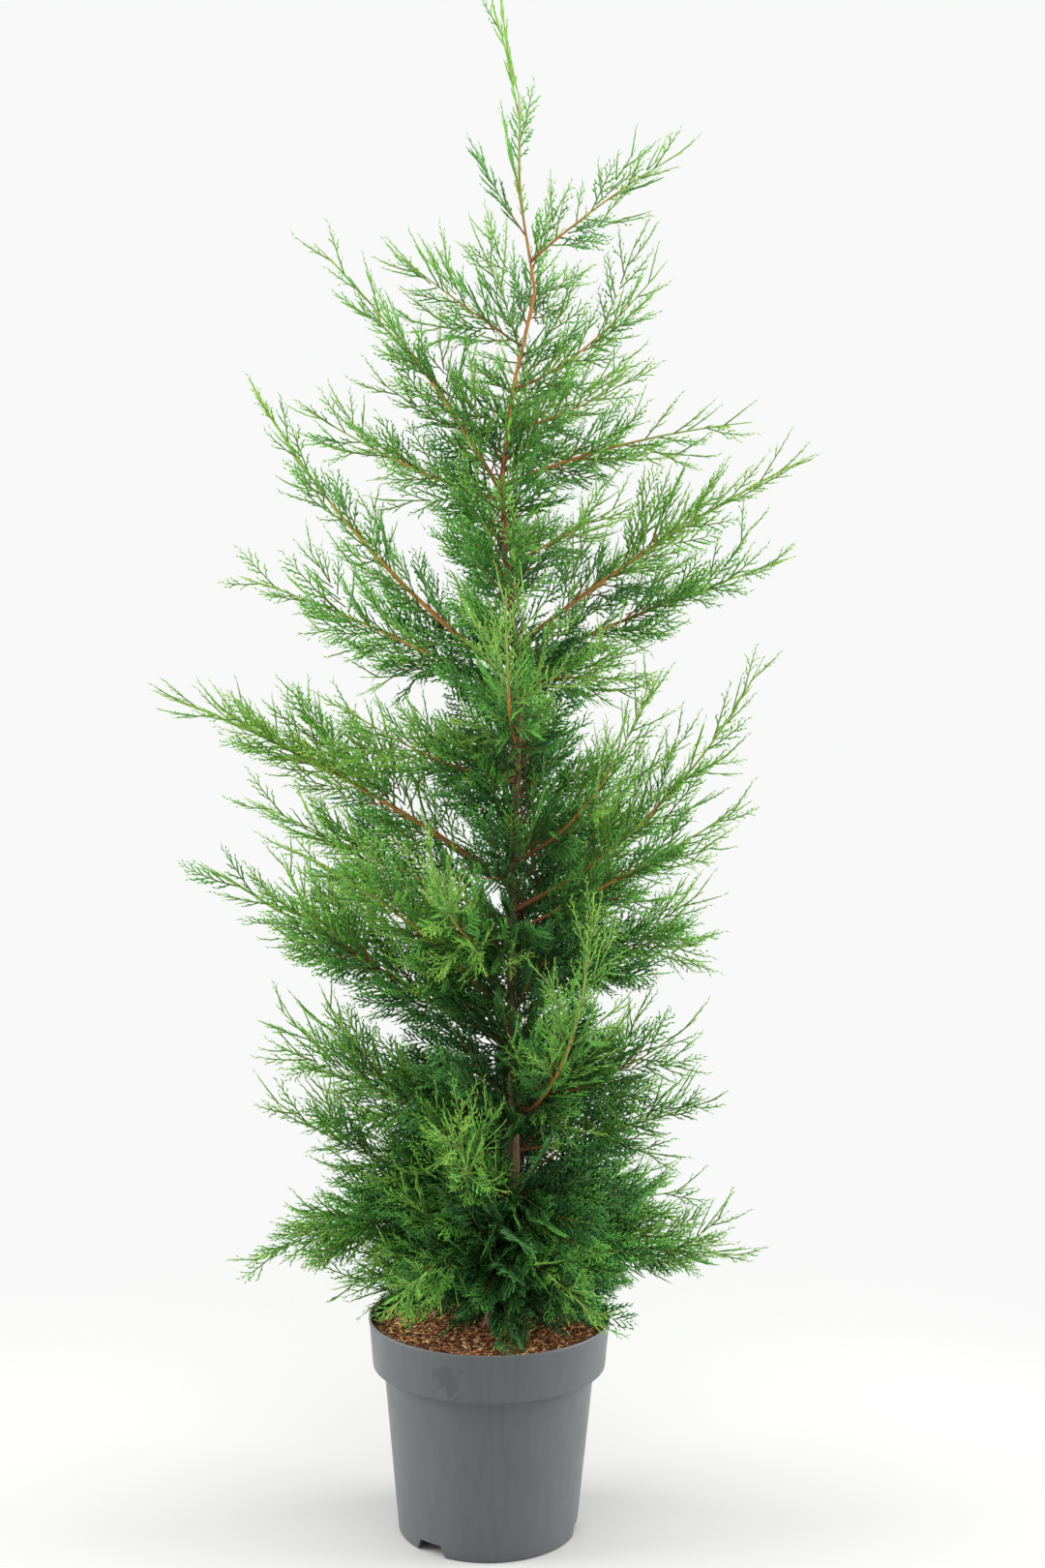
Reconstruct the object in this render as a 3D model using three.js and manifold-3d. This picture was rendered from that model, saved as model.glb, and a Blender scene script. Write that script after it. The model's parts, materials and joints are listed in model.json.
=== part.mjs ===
// A young cypress in a round nursery pot: the pot, its compost, the trunk, the main boughs and the
// masses of foliage, each a closed solid of its own.
// Millimetres, +Z up. The origin is the centre of the pot's flat underside, and -Y is the front.

import * as THREE from 'three';
import { mergeVertices } from 'three/addons/utils/BufferGeometryUtils.js';
import Module from 'manifold-3d';

const wasm = await Module();
wasm.setup();

// ---------------------------------------------------------------- driving dimensions

const GAP = 0.3;            // clearance between the pot and the compost, and under the trunk
const CUT_GAP = 0.6;        // how much fatter a piece is when it cuts its neighbour

const POT = {
  height: 280,
  rimRadius: 154.5,
  lip: 3,                   // rounding of the rim and of the foot
  collarHeight: 60,         // the stiffening band under the rim
  collarFootRadius: 149,
  collarStep: 12,           // height over which the band turns in to the body
  bodyTopRadius: 134,
  footRadius: 115,
  wall: 3,
  floor: 4,
  channel: 18,              // height of the channel under the floor, behind the notches
  channelRadius: 84,        // where the channel starts, outside the flat of the underside
  channelSlope: 4,          // how far its inner side leans back
  turnInSteps: 4,           // facets over the turn of the wall under the band
  sides: 28,
};

// The drainage notches round the foot. below is how far their cutter reaches under the pot.
const NOTCH = { count: 3, turn: -38, width: 46, height: 16, slant: 7, reachIn: 10, reachOut: 20, below: 1 };

// The compost slopes down by edgeDrop over the edgeWidth next to the wall, which it meets edgeOut
// beyond the radius at the foot of the pot's band.
const COMPOST = { top: 270, edgeDrop: 3, edgeWidth: 24, edgeOut: 3 };

const TRUNK = {
  tip: 1926,
  footRadius: 9.6,
  tipRadius: 0.8,
  taper: 0.95,              // below 1 the stem stays stout for longer
  flare: 7,                 // extra radius at the root flare
  flareHeight: 22,
  ribs: 5,                  // roots that show as ribs on the flare
  ribDepth: 0.12,           // as a share of the radius
  ribHeight: 60,
  crowding: 0.35,           // how much closer the slices lie at the flare than at the tip
  sides: 8,
  steps: 18,
};

// The trunk's lean and sway: height, sideways and backwards.
const TRUNK_SWAY = [
  [270, 8, 0], [430, 28, 4], [800, 24, -4], [1110, 29, 2], [1300, 7, -3],
  [1440, 17, 3], [1555, 46, 0], [1700, 24, -4], [1810, 23, 2], [1926, -13, 0],
];

const LIMB = { stoutness: 0.0112, endRadius: 0.55, intoMass: 0.14, sides: 5, steps: 4 };

const MASS = {
  spread: 0.2,              // half width across the bough, as a share of its reach
  depth: 0.15,              // half thickness, the same way
  leastSpread: 40,
  leastDepth: 30,
  upward: 1.25,             // sprays stand up more than they hang down
  downward: 0.8,
  belly: 0.45,              // how fast a mass swells from the trunk side
  point: 1.05,              // how fast it thins to its tip
  skirtFullness: 1.5,       // the lowest masses are this much fuller than the high ones
  skirtTop: 1000,           // the height where that has faded away
  sides: 7,
  rings: 6,
};

// The waves that make a mass uneven: size of the wave, how often it goes round the mass, how far it
// turns along it, and how far it shifts from one mass to the next.
const WAVES = [
  { size: 0.17, round: 2, along: 5, shift: 1.7 },
  { size: 0.13, round: 3, along: -9, shift: 2.9 },
  { size: 0.12, round: 1, along: 17, shift: 0.7 },
];

const LEADER = { foot: 1585, top: 1905, spread: 46, shade: 2 };

// The limbs, from the pot up. height is where one leaves the trunk, turn its bearing in degrees from
// the front towards the right, reach and rise its tip from there, bow the height of its middle over
// the straight line, bare the leafless share of its length, and shade its foliage's finish, from 0 for
// the deepest to 2 for the freshest. A limb with no bare share is hidden by its own foliage, so only
// its mass is modelled.
const LIMBS = [
  // height, turn, reach, rise, bow, bare, shade
  [345, 35, 218, -26, 20, 0, 1],
  [348, -68, 228, -10, 22, 0, 1],
  [350, -36, 240, -12, 25, 0, 1],
  [352, 93, 312, 2, 14, 0, 1],
  [372, -172, 320, 15, 20, 0, 0],
  [388, -80, 335, -30, 36, 0, 1],
  [395, 110, 262, 28, 12, 0, 0],
  [420, -16, 215, 190, -30, 0, 2],
  [468, -73, 318, 118, -18, 0, 1],
  [482, 78, 258, 94, -6, 0, 0],
  [490, 165, 305, 120, 5, 0, 0],
  [535, -82, 300, 152, -12, 0, 1],
  [542, 68, 238, 140, 2, 0, 1],
  [555, 24, 225, 300, -90, 0.2, 2],
  [628, -83, 390, 238, -2, 0.22, 1],
  [662, -58, 328, 246, 24, 0.22, 2],
  [693, 108, 262, 60, 18, 0, 0],
  [735, -20, 255, 150, -10, 0, 2],
  [775, 70, 305, 180, -5, 0.2, 1],
  [775, 150, 345, 180, 5, 0, 0],
  [790, -114, 388, 136, 0, 0.16, 1],
  [806, 88, 310, 320, -52, 0.26, 2],
  [835, -86, 448, 244, 20, 0.2, 2],
  [850, 54, 205, 262, -42, 0, 2],
  [920, 178, 345, 200, 0, 0, 0],
  [940, -50, 275, 136, 0, 0, 2],
  [985, -3, 262, 225, -20, 0, 2],
  [1068, -109, 386, 150, 10, 0.18, 1],
  [1075, 52, 185, 22, 18, 0, 2],
  [1092, -79, 333, 362, -38, 0.18, 1],
  [1112, 104, 364, 138, 4, 0.2, 1],
  [1135, 85, 366, 240, 15, 0.2, 2],
  [1170, -168, 305, 195, 0, 0, 0],
  [1222, 58, 175, 95, 5, 0, 2],
  [1284, -101, 262, 150, 5, 0, 1],
  [1312, 78, 308, 98, 26, 0, 1],
  [1325, -77, 232, 292, 22, 0.16, 1],
  [1345, 158, 235, 150, 0, 0, 0],
  [1386, 64, 185, 82, 5, 0, 2],
  [1395, -78, 128, 85, 0, 0, 1],
  [1430, 97, 195, 182, -12, 0, 1],
  [1490, -85, 155, 122, 8, 0, 1],
  [1505, 170, 140, 140, 0, 0, 0],
  [1582, 78, 180, 150, 22, 0, 1],
].map(([height, turn, reach, rise, bow, bare, shade]) => ({ height, turn, reach, rise, bow, bare, shade }));

// ---------------------------------------------------------------- materials

const finish = (color, roughness) => new THREE.MeshStandardMaterial({ color, roughness, metalness: 0 });
const POT_PLASTIC = finish(0x6c6e70, 0.6);
const BARK_MULCH = finish(0x6b452c, 0.95);
const TRUNK_BARK = finish(0x7b4c30, 0.85);
const BOUGH_BARK = finish(0x94552c, 0.85);
const FOLIAGE = [0x2f6a30, 0x3c7c34, 0x4c8d3a].map((color) => finish(color, 0.75));

// ---------------------------------------------------------------- solids and cuts

const UP = new THREE.Vector3(0, 0, 1);

function toSolid(geometry) {
  const bare = new THREE.BufferGeometry();
  bare.setAttribute('position', geometry.getAttribute('position'));
  bare.setIndex(geometry.getIndex());
  const merged = mergeVertices(bare, 1e-3);
  return new wasm.Manifold(new wasm.Mesh({
    numProp: 3,
    vertProperties: new Float32Array(merged.getAttribute('position').array),
    triVerts: new Uint32Array(merged.getIndex().array),
  }));
}

function toGeometry(solid) {
  const { vertProperties, triVerts } = solid.getMesh();
  const geometry = new THREE.BufferGeometry();
  geometry.setAttribute('position', new THREE.BufferAttribute(vertProperties, 3));
  geometry.setIndex(new THREE.BufferAttribute(triVerts, 1));
  geometry.computeVertexNormals();
  return geometry;
}

/** The solid with its neighbours cut away, or the largest body that is left of it. */
function cutRound(solid, neighbours) {
  const left = neighbours.reduce((rest, neighbour) => rest.subtract(neighbour), solid);
  return left.decompose().sort((a, b) => b.volume() - a.volume())[0];
}

/**
 * Bends a unit geometry, whose axis is Y from -half to half, along a path: place(t, across, along)
 * turns its share t of the axis and its two section coordinates into a point.
 */
function bent(unit, half, place) {
  const position = unit.getAttribute('position');
  for (let i = 0; i < position.count; i += 1) {
    const t = (position.getY(i) + half) / (2 * half);
    const point = place(t, position.getX(i), position.getZ(i));
    position.setXYZ(i, point.x, point.y, point.z);
  }
  return unit;
}

/** Whether a share of a path is its far end, but for rounding. */
const atEnd = (t) => t > 1 - 1e-6;

/** A point beside a curve, at the given offsets to its side and above it. */
function beside(curve, t, sideways, upwards) {
  const tangent = curve.getTangent(t);
  const side = tangent.clone().cross(UP).normalize();
  const above = side.clone().cross(tangent);
  return curve.getPoint(t).addScaledVector(side, sideways).addScaledVector(above, upwards);
}

// ---------------------------------------------------------------- pot and compost

const collarFoot = POT.height - POT.collarHeight;

/** The pot's wall radius at a height inside it. */
function innerRadius(z) {
  const share = z / (collarFoot - POT.collarStep);
  return THREE.MathUtils.lerp(POT.footRadius, POT.bodyTopRadius, share) - POT.wall;
}

/** The wall's outer line where it turns out into the band, moved inwards and up by the given amount. */
function wallLine(inset) {
  const band = collarFoot + inset;
  const turnIn = new THREE.CubicBezierCurve(
    new THREE.Vector2(POT.bodyTopRadius - inset, band - POT.collarStep),
    new THREE.Vector2(POT.bodyTopRadius - inset, band - POT.collarStep / 3),
    new THREE.Vector2(POT.collarFootRadius - inset, band - POT.collarStep / 3),
    new THREE.Vector2(POT.collarFootRadius - inset, band),
  );
  return turnIn.getPoints(POT.turnInSteps);
}

/** The pot's inner floor from the wall to the middle, or what lies a gap over it. */
function floorLine(gap) {
  const raised = POT.channel + POT.floor + gap;
  const wellRadius = POT.channelRadius - POT.floor - gap;
  return [
    new THREE.Vector2(innerRadius(raised) - gap, raised),
    new THREE.Vector2(wellRadius + POT.channelSlope, raised),
    new THREE.Vector2(wellRadius, POT.floor + gap),
    new THREE.Vector2(0, POT.floor + gap),
  ];
}

function potShell() {
  const lip = POT.lip / 2;
  const channelTop = POT.channelRadius + POT.channelSlope;
  const profile = [
    new THREE.Vector2(0, 0),
    new THREE.Vector2(POT.channelRadius, 0),
    new THREE.Vector2(channelTop, POT.channel),
    new THREE.Vector2(innerRadius(POT.channel), POT.channel),
    new THREE.Vector2(POT.footRadius - POT.wall - POT.lip, 0),
    new THREE.Vector2(POT.footRadius - POT.lip, 0),
    new THREE.Vector2(POT.footRadius, POT.lip),
    ...wallLine(0),
    new THREE.Vector2(POT.rimRadius, POT.height - POT.lip),
    new THREE.Vector2(POT.rimRadius - lip, POT.height),
    new THREE.Vector2(POT.rimRadius - POT.wall, POT.height - lip),
    ...wallLine(POT.wall).reverse(),
    ...floorLine(0),
  ];
  return toSolid(new THREE.LatheGeometry(profile, POT.sides).rotateX(Math.PI / 2));
}

/** A trapezoid cutter through the foot of the wall, at a bearing from the front. */
function notchCutter(turn) {
  const foot = NOTCH.width / 2;
  const outline = new THREE.Shape([
    new THREE.Vector2(-foot, -NOTCH.below),
    new THREE.Vector2(foot, -NOTCH.below),
    new THREE.Vector2(foot - NOTCH.slant, NOTCH.height),
    new THREE.Vector2(-foot + NOTCH.slant, NOTCH.height),
  ]);
  const depth = NOTCH.reachIn + NOTCH.reachOut;
  const cutter = new THREE.ExtrudeGeometry(outline, { depth, bevelEnabled: false });
  cutter.rotateX(Math.PI / 2).translate(0, -(POT.footRadius - NOTCH.reachIn), 0);
  cutter.rotateZ(THREE.MathUtils.degToRad(turn));
  return toSolid(cutter);
}

function pot() {
  const turns = Array.from({ length: NOTCH.count }, (_, i) => NOTCH.turn + (i * 360) / NOTCH.count);
  return cutRound(potShell(), turns.map(notchCutter));
}

/** The compost fills the pot to just under the rim and is flat round the trunk. */
function compost() {
  const inside = POT.wall + GAP;
  const bandRadius = POT.collarFootRadius - inside;
  const profile = [
    ...floorLine(GAP).reverse(),
    ...wallLine(inside),
    new THREE.Vector2(bandRadius + COMPOST.edgeOut, COMPOST.top - COMPOST.edgeDrop),
    new THREE.Vector2(bandRadius - COMPOST.edgeWidth, COMPOST.top),
    new THREE.Vector2(0, COMPOST.top),
  ];
  return toSolid(new THREE.LatheGeometry(profile, POT.sides).rotateX(Math.PI / 2));
}

// ---------------------------------------------------------------- trunk

const trunkLine = new THREE.CatmullRomCurve3(
  TRUNK_SWAY.map(([height, sideways, backwards]) => new THREE.Vector3(sideways, backwards, height)),
);
const trunkFoot = COMPOST.top + GAP;

/** The trunk's centre at a height. */
function trunkAt(height) {
  let low = 0;
  let high = 1;
  while (high - low > 1e-9) {
    const middle = (low + high) / 2;
    if (trunkLine.getPoint(middle).z < height) low = middle;
    else high = middle;
  }
  return trunkLine.getPoint(low).setZ(height);
}

function trunkRadius(height) {
  const share = (height - trunkFoot) / (TRUNK.tip - trunkFoot);
  const stem = THREE.MathUtils.lerp(TRUNK.tipRadius, TRUNK.footRadius, (1 - share) ** TRUNK.taper);
  return stem + TRUNK.flare * Math.exp(-(height - trunkFoot) / TRUNK.flareHeight);
}

/** The trunk in level slices, closer together at the root flare, fatter all round by grow. */
function trunk(grow = 0) {
  const unit = new THREE.CylinderGeometry(1, 1, 1, TRUNK.sides, TRUNK.steps);
  return toSolid(bent(unit, 0.5, (t, x, z) => {
    const share = t * THREE.MathUtils.lerp(1 - TRUNK.crowding, 1, t);
    const height = THREE.MathUtils.lerp(trunkFoot, TRUNK.tip, THREE.MathUtils.clamp(share, 0, 1));
    const ribDepth = TRUNK.ribDepth * Math.exp(-(height - trunkFoot) / TRUNK.ribHeight);
    const ribs = 1 + ribDepth * Math.cos(TRUNK.ribs * Math.atan2(z, x));
    const radius = trunkRadius(height) * ribs + grow;
    const centre = trunkAt(height);
    const overrun = atEnd(t) ? grow : 0;
    return new THREE.Vector3(centre.x + x * radius, centre.y - z * radius, height + overrun);
  }));
}

// ---------------------------------------------------------------- boughs and masses

/** The line of a limb from the trunk's centre to its tip. */
function limbLine({ height, turn, reach, rise, bow }) {
  const bearing = THREE.MathUtils.degToRad(turn);
  const outward = new THREE.Vector3(Math.sin(bearing), -Math.cos(bearing), 0);
  const start = trunkAt(height);
  const tip = start.clone().addScaledVector(outward, reach).addScaledVector(UP, rise);
  const middle = start.clone().lerp(tip, 0.5).addScaledVector(UP, 2 * bow);
  return new THREE.QuadraticBezierCurve3(start, middle, tip);
}

/** The bare part of a limb, tapering from the trunk to where it has entered its mass. */
function bough(limb, grow = 0) {
  const line = limbLine(limb);
  const footRadius = LIMB.stoutness * limb.reach;
  const end = limb.bare + LIMB.intoMass;
  const unit = new THREE.CylinderGeometry(1, 1, 1, LIMB.sides, LIMB.steps);
  return toSolid(bent(unit, 0.5, (t, x, z) => {
    const overrun = atEnd(t) ? grow / limb.reach : 0;
    const radius = footRadius * THREE.MathUtils.lerp(1, LIMB.endRadius, t) + grow;
    return beside(line, end * t + overrun, x * radius, z * radius);
  }));
}

/** How much a mass bulges or pinches at a share t of its length and an angle round it. */
function unevenness(seed, t, angle) {
  const swing = ({ size, round, along, shift }) => size * Math.sin(round * angle + along * t + shift * seed);
  return WAVES.reduce((sum, wave) => sum + swing(wave), 1);
}

/** A closed uneven plume along a line from the share start to its tip, fatter by grow. */
function plume(line, start, spread, depth, seed, grow) {
  const swell = (t) => t ** MASS.belly * (1 - t) ** MASS.point;
  const fullest = swell(MASS.belly / (MASS.belly + MASS.point));
  const overrun = grow / line.getLength();
  const unit = new THREE.SphereGeometry(1, MASS.sides, MASS.rings);
  return toSolid(bent(unit, 1, (t, x, z) => {
    const ring = Math.hypot(x, z);
    if (ring < 1e-6) return beside(line, atEnd(t) ? 1 : start, 0, 0);
    const angle = Math.atan2(z, x);
    const size = (swell(t) / fullest) * unevenness(seed, t, angle);
    const along = THREE.MathUtils.lerp(start - overrun, 1 + overrun, t);
    const lift = z > 0 ? MASS.upward : MASS.downward;
    const sideways = (x / ring) * (spread * size + grow);
    const upwards = (z / ring) * (lift * depth * size + grow);
    return beside(line, THREE.MathUtils.clamp(along, 0, 1), sideways, upwards);
  }));
}

function mass(limb, index, grow = 0) {
  const share = THREE.MathUtils.clamp((limb.height - POT.height) / (MASS.skirtTop - POT.height), 0, 1);
  const fullness = THREE.MathUtils.lerp(MASS.skirtFullness, 1, share);
  const spread = Math.max(MASS.leastSpread, MASS.spread * fullness * limb.reach);
  const depth = Math.max(MASS.leastDepth, MASS.depth * fullness * limb.reach);
  return plume(limbLine(limb), limb.bare, spread, depth, index, grow);
}

/** The sparse foliage round the leading shoot. */
function leaderMass(grow = 0) {
  const foot = trunkAt(LEADER.foot);
  const top = trunkAt(LEADER.top);
  const line = new THREE.QuadraticBezierCurve3(foot, foot.clone().lerp(top, 0.5), top);
  return plume(line, 0, LEADER.spread, LEADER.spread, LIMBS.length, grow);
}

// ---------------------------------------------------------------- assembly

const group = new THREE.Group();

function add(name, solid, material) {
  const mesh = new THREE.Mesh(toGeometry(solid), material);
  mesh.name = name;
  group.add(mesh);
}

const number = (index) => String(index + 1).padStart(2, '0');

add('pot', pot(), POT_PLASTIC);
add('compost', compost(), BARK_MULCH);
add('trunk', trunk(), TRUNK_BARK);

const trunkCutter = trunk(CUT_GAP);
const boughCutters = [];
LIMBS.forEach((limb, index) => {
  if (limb.bare === 0) return;
  add(`bough_${number(index)}`, cutRound(bough(limb), [trunkCutter]), BOUGH_BARK);
  boughCutters.push(bough(limb, CUT_GAP));
});

// Each mass is cut round the wood and round the masses before it, the longest limbs first.
const neighbours = [trunkCutter, ...boughCutters];
const order = LIMBS.map((_, index) => index).sort((a, b) => LIMBS[b].reach - LIMBS[a].reach);
order.forEach((index) => {
  const solid = cutRound(mass(LIMBS[index], index), neighbours);
  add(`foliage_${number(index)}`, solid, FOLIAGE[LIMBS[index].shade]);
  neighbours.push(mass(LIMBS[index], index, CUT_GAP));
});
add('foliage_leader', cutRound(leaderMass(), neighbours), FOLIAGE[LEADER.shade]);

export default group;
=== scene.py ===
"""The looks of a young cypress in a round nursery pot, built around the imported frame.

The frame says where the wood runs and how far the sprays reach. The pot, the compost and the bark are
modelled on it, and a seeded branching rule grows the sprays: a limb bears side limbs and branchlets, a
branchlet bears shoots to its two sides, and a shoot bears the twiglets that are clad in scale leaves.
"""

from __future__ import annotations

import json
import logging
import math
from dataclasses import dataclass, field, fields, replace
from enum import Enum
from functools import partial
from typing import Callable, Sequence

import bpy
import numpy as np
from mathutils import Matrix, Vector, noise
from mathutils.bvhtree import BVHTree

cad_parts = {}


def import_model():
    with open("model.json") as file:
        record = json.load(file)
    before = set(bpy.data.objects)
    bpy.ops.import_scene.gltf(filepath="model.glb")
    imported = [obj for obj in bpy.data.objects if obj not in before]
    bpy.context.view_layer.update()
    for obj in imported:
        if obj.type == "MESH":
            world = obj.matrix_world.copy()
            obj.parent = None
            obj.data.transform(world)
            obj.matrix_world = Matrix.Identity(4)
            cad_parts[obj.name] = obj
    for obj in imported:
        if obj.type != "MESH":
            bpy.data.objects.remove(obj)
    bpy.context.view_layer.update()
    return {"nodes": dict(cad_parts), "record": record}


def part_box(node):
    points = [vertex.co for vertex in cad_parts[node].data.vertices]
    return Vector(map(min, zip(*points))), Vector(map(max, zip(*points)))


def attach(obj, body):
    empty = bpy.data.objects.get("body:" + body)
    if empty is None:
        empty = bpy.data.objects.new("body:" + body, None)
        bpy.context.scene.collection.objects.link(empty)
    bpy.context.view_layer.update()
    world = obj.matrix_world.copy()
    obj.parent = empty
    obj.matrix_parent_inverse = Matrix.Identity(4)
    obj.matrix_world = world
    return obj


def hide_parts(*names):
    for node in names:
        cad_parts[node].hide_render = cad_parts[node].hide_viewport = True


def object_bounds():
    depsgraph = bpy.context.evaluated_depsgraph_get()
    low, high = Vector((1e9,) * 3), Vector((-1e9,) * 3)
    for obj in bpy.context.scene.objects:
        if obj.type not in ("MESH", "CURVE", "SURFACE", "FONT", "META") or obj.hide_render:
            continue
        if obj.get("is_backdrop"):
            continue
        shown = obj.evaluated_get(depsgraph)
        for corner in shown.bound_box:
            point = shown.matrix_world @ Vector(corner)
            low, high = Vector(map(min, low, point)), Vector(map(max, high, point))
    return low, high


LOG = logging.getLogger("cypress")
MM = 0.001
UP = np.array([0.0, 0.0, 1.0])
SEED = 20

Pair = tuple[float, float]
Triple = tuple[float, float, float]
Adder = Callable[..., bpy.types.Node]
# Many copies of one small shape: the places of their corners, as copies by corners by 3, the triangles
# of one copy, and the material slot of each copy or of each of its triangles.
Copies = tuple[np.ndarray, np.ndarray, np.ndarray]


# ---------------------------------------------------------------- small helpers


def srgb(code: str) -> tuple[float, float, float, float]:
    """Turns a colour to the linear values that a shader takes.

    Args:
        code: The colour as six sRGB hex digits.

    Returns:
        Linear red, green and blue, and an alpha of 1.
    """
    shares = [int(code[i : i + 2], 16) / 255 for i in (0, 2, 4)]
    linear = [s / 12.92 if s <= 0.04045 else ((s + 0.055) / 1.055) ** 2.4 for s in shares]
    return (*linear, 1.0)


def per(size_mm: float) -> float:
    """How often a pattern of this size in millimetres repeats in a metre."""
    return 1 / (size_mm * MM)


def unit(vectors: np.ndarray) -> np.ndarray:
    """The vectors, each at length one."""
    return vectors / np.maximum(np.linalg.norm(vectors, axis=-1, keepdims=True), 1e-12)


def upright(headings: np.ndarray) -> np.ndarray:
    """For each heading, the direction square to it that points up most."""
    return unit(np.cross(np.cross(headings, UP), headings))


def column(values: np.ndarray) -> np.ndarray:
    """A row of numbers stood on end, to multiply a list of vectors."""
    return np.asarray(values)[..., None]


def between(pair: Pair, share: np.ndarray) -> np.ndarray:
    """The values at shares of the way from the first of a pair to the second."""
    return pair[0] + (pair[1] - pair[0]) * share


def run_along(points: np.ndarray) -> np.ndarray:
    """How far along a line each of its points lies."""
    return np.concatenate([[0.0], np.cumsum(np.linalg.norm(np.diff(points, axis=0), axis=1))])


def corners(mesh: bpy.types.Mesh) -> np.ndarray:
    """The places of a mesh's corners, in metres."""
    places = np.empty(len(mesh.vertices) * 3, np.float32)
    mesh.vertices.foreach_get("co", places)
    return places.reshape(-1, 3).astype(float)


def add_node(
    material: bpy.types.Material,
    kind: str,
    inputs: dict[str | int, object] | None = None,
    **settings: object,
) -> bpy.types.Node:
    """Adds a node, with its settings, its input values and the links that feed it.

    Args:
        material: The material that gets the node.
        kind: Blender's name for the node's type, after its ShaderNode.
        inputs: By socket, a value, or a pair of a node and the name of its output.
        settings: The node's own properties.

    Returns:
        The node.
    """
    node = material.node_tree.nodes.new(f"ShaderNode{kind}")
    for name, value in settings.items():
        setattr(node, name, value)
    for socket, value in (inputs or {}).items():
        if isinstance(value, tuple) and isinstance(value[0], bpy.types.Node):
            material.node_tree.links.new(value[0].outputs[value[1]], node.inputs[socket])
        else:
            node.inputs[socket].default_value = value
    return node


def new_material(name: str) -> tuple[bpy.types.Material, Adder]:
    """An empty node material, and the function that adds its nodes."""
    material = bpy.data.materials.new(name)
    material.use_nodes = True
    material.node_tree.nodes.clear()
    return material, partial(add_node, material)


def set_ramp(node: bpy.types.Node, stops: Sequence[tuple[float, str]]) -> None:
    """Gives a colour ramp its stops, each a position and an sRGB hex colour."""
    elements = node.color_ramp.elements
    while len(elements) < len(stops):
        elements.new(1.0)
    for element, (position, code) in zip(elements, stops):
        element.position = position
        element.color = srgb(code)


def new_object(name: str, data: bpy.types.ID) -> bpy.types.Object:
    """An object that shows this data, in the scene."""
    made = bpy.data.objects.new(name, data)
    bpy.context.scene.collection.objects.link(made)
    return made


def select_only(*pieces: bpy.types.Object) -> None:
    """Selects these pieces and nothing else, with the first of them active."""
    bpy.ops.object.select_all(action="DESELECT")
    for piece in pieces:
        piece.select_set(True)
    if pieces:
        bpy.context.view_layer.objects.active = pieces[0]


def settle(piece: bpy.types.Object) -> None:
    """Puts a piece's place into its mesh, so that its object sits at the origin."""
    select_only(piece)
    bpy.ops.object.transform_apply(location=True, rotation=True, scale=True)


def join(pieces: Sequence[bpy.types.Object], name: str) -> bpy.types.Object:
    """Joins pieces into the first one and names it."""
    select_only(*pieces)
    bpy.ops.object.join()
    pieces[0].name = pieces[0].data.name = name
    return pieces[0]


def draw_rings(
    name: str, centres: np.ndarray, radii: Sequence[float], sides: int, facing: np.ndarray = UP
) -> bpy.types.Object:
    """Draws a closed round body from a disc, which is extruded and resized ring by ring.

    Args:
        name: The body's name.
        centres: The centre of each ring.
        radii: The radius of each ring.
        sides: The corners of a ring.
        facing: The direction that every ring faces.

    Returns:
        The body, with smooth faces.
    """
    select_only()
    turn = Vector(facing).to_track_quat("Z", "Y").to_euler()
    bpy.ops.mesh.primitive_circle_add(
        vertices=sides, radius=radii[0], fill_type="NGON", location=centres[0], rotation=turn
    )
    piece = bpy.context.object
    piece.name = piece.data.name = name
    settle(piece)
    bpy.ops.object.mode_set(mode="EDIT")
    bpy.ops.mesh.select_all(action="SELECT")
    for i in range(1, len(centres)):
        step = centres[i] - centres[i - 1]
        bpy.ops.mesh.extrude_region_move(TRANSFORM_OT_translate={"value": tuple(step)})
        scale = radii[i] / radii[i - 1]
        bpy.ops.transform.resize(value=(scale, scale, scale), center_override=tuple(centres[i]))
    bpy.ops.mesh.select_all(action="SELECT")
    bpy.ops.mesh.normals_make_consistent(inside=False)
    bpy.ops.mesh.faces_shade_smooth()
    bpy.ops.object.mode_set(mode="OBJECT")
    return piece


def lathe(name: str, profile: Sequence[Pair], sides: int) -> bpy.types.Object:
    """Draws a round body about the Z axis from its profile of radius and height."""
    centres = np.array([(0.0, 0.0, height) for _, height in profile])
    return draw_rings(name, centres, [radius for radius, _ in profile], sides)


def build_mesh(name: str, groups: Sequence[Copies]) -> bpy.types.Object:
    """Makes one joined mesh of many copies of small shapes.

    Args:
        name: The piece's name.
        groups: The copies of each shape.

    Returns:
        The piece, linked to the scene, with smooth faces.
    """
    triangles, slots, first = [], [], 0
    for places, faces, finish in groups:
        index = first + np.arange(len(places))[:, None, None] * places.shape[1] + faces[None]
        triangles.append(index.reshape(-1, 3))
        slots.append(np.broadcast_to(finish.reshape(len(places), -1), index.shape[:2]).ravel())
        first += places.shape[0] * places.shape[1]
    flat = np.concatenate(triangles).astype(np.int32).ravel()
    mesh = bpy.data.meshes.new(name)
    mesh.vertices.add(first)
    mesh.vertices.foreach_set("co", np.concatenate([g[0].ravel() for g in groups]).astype(np.float32))
    mesh.loops.add(flat.size)
    mesh.loops.foreach_set("vertex_index", flat)
    mesh.polygons.add(flat.size // 3)
    mesh.polygons.foreach_set("loop_start", np.arange(0, flat.size, 3, dtype=np.int32))
    mesh.polygons.foreach_set("material_index", np.concatenate(slots).astype(np.int32))
    mesh.update(calc_edges=True)
    mesh.shade_smooth()
    return new_object(name, mesh)


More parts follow.
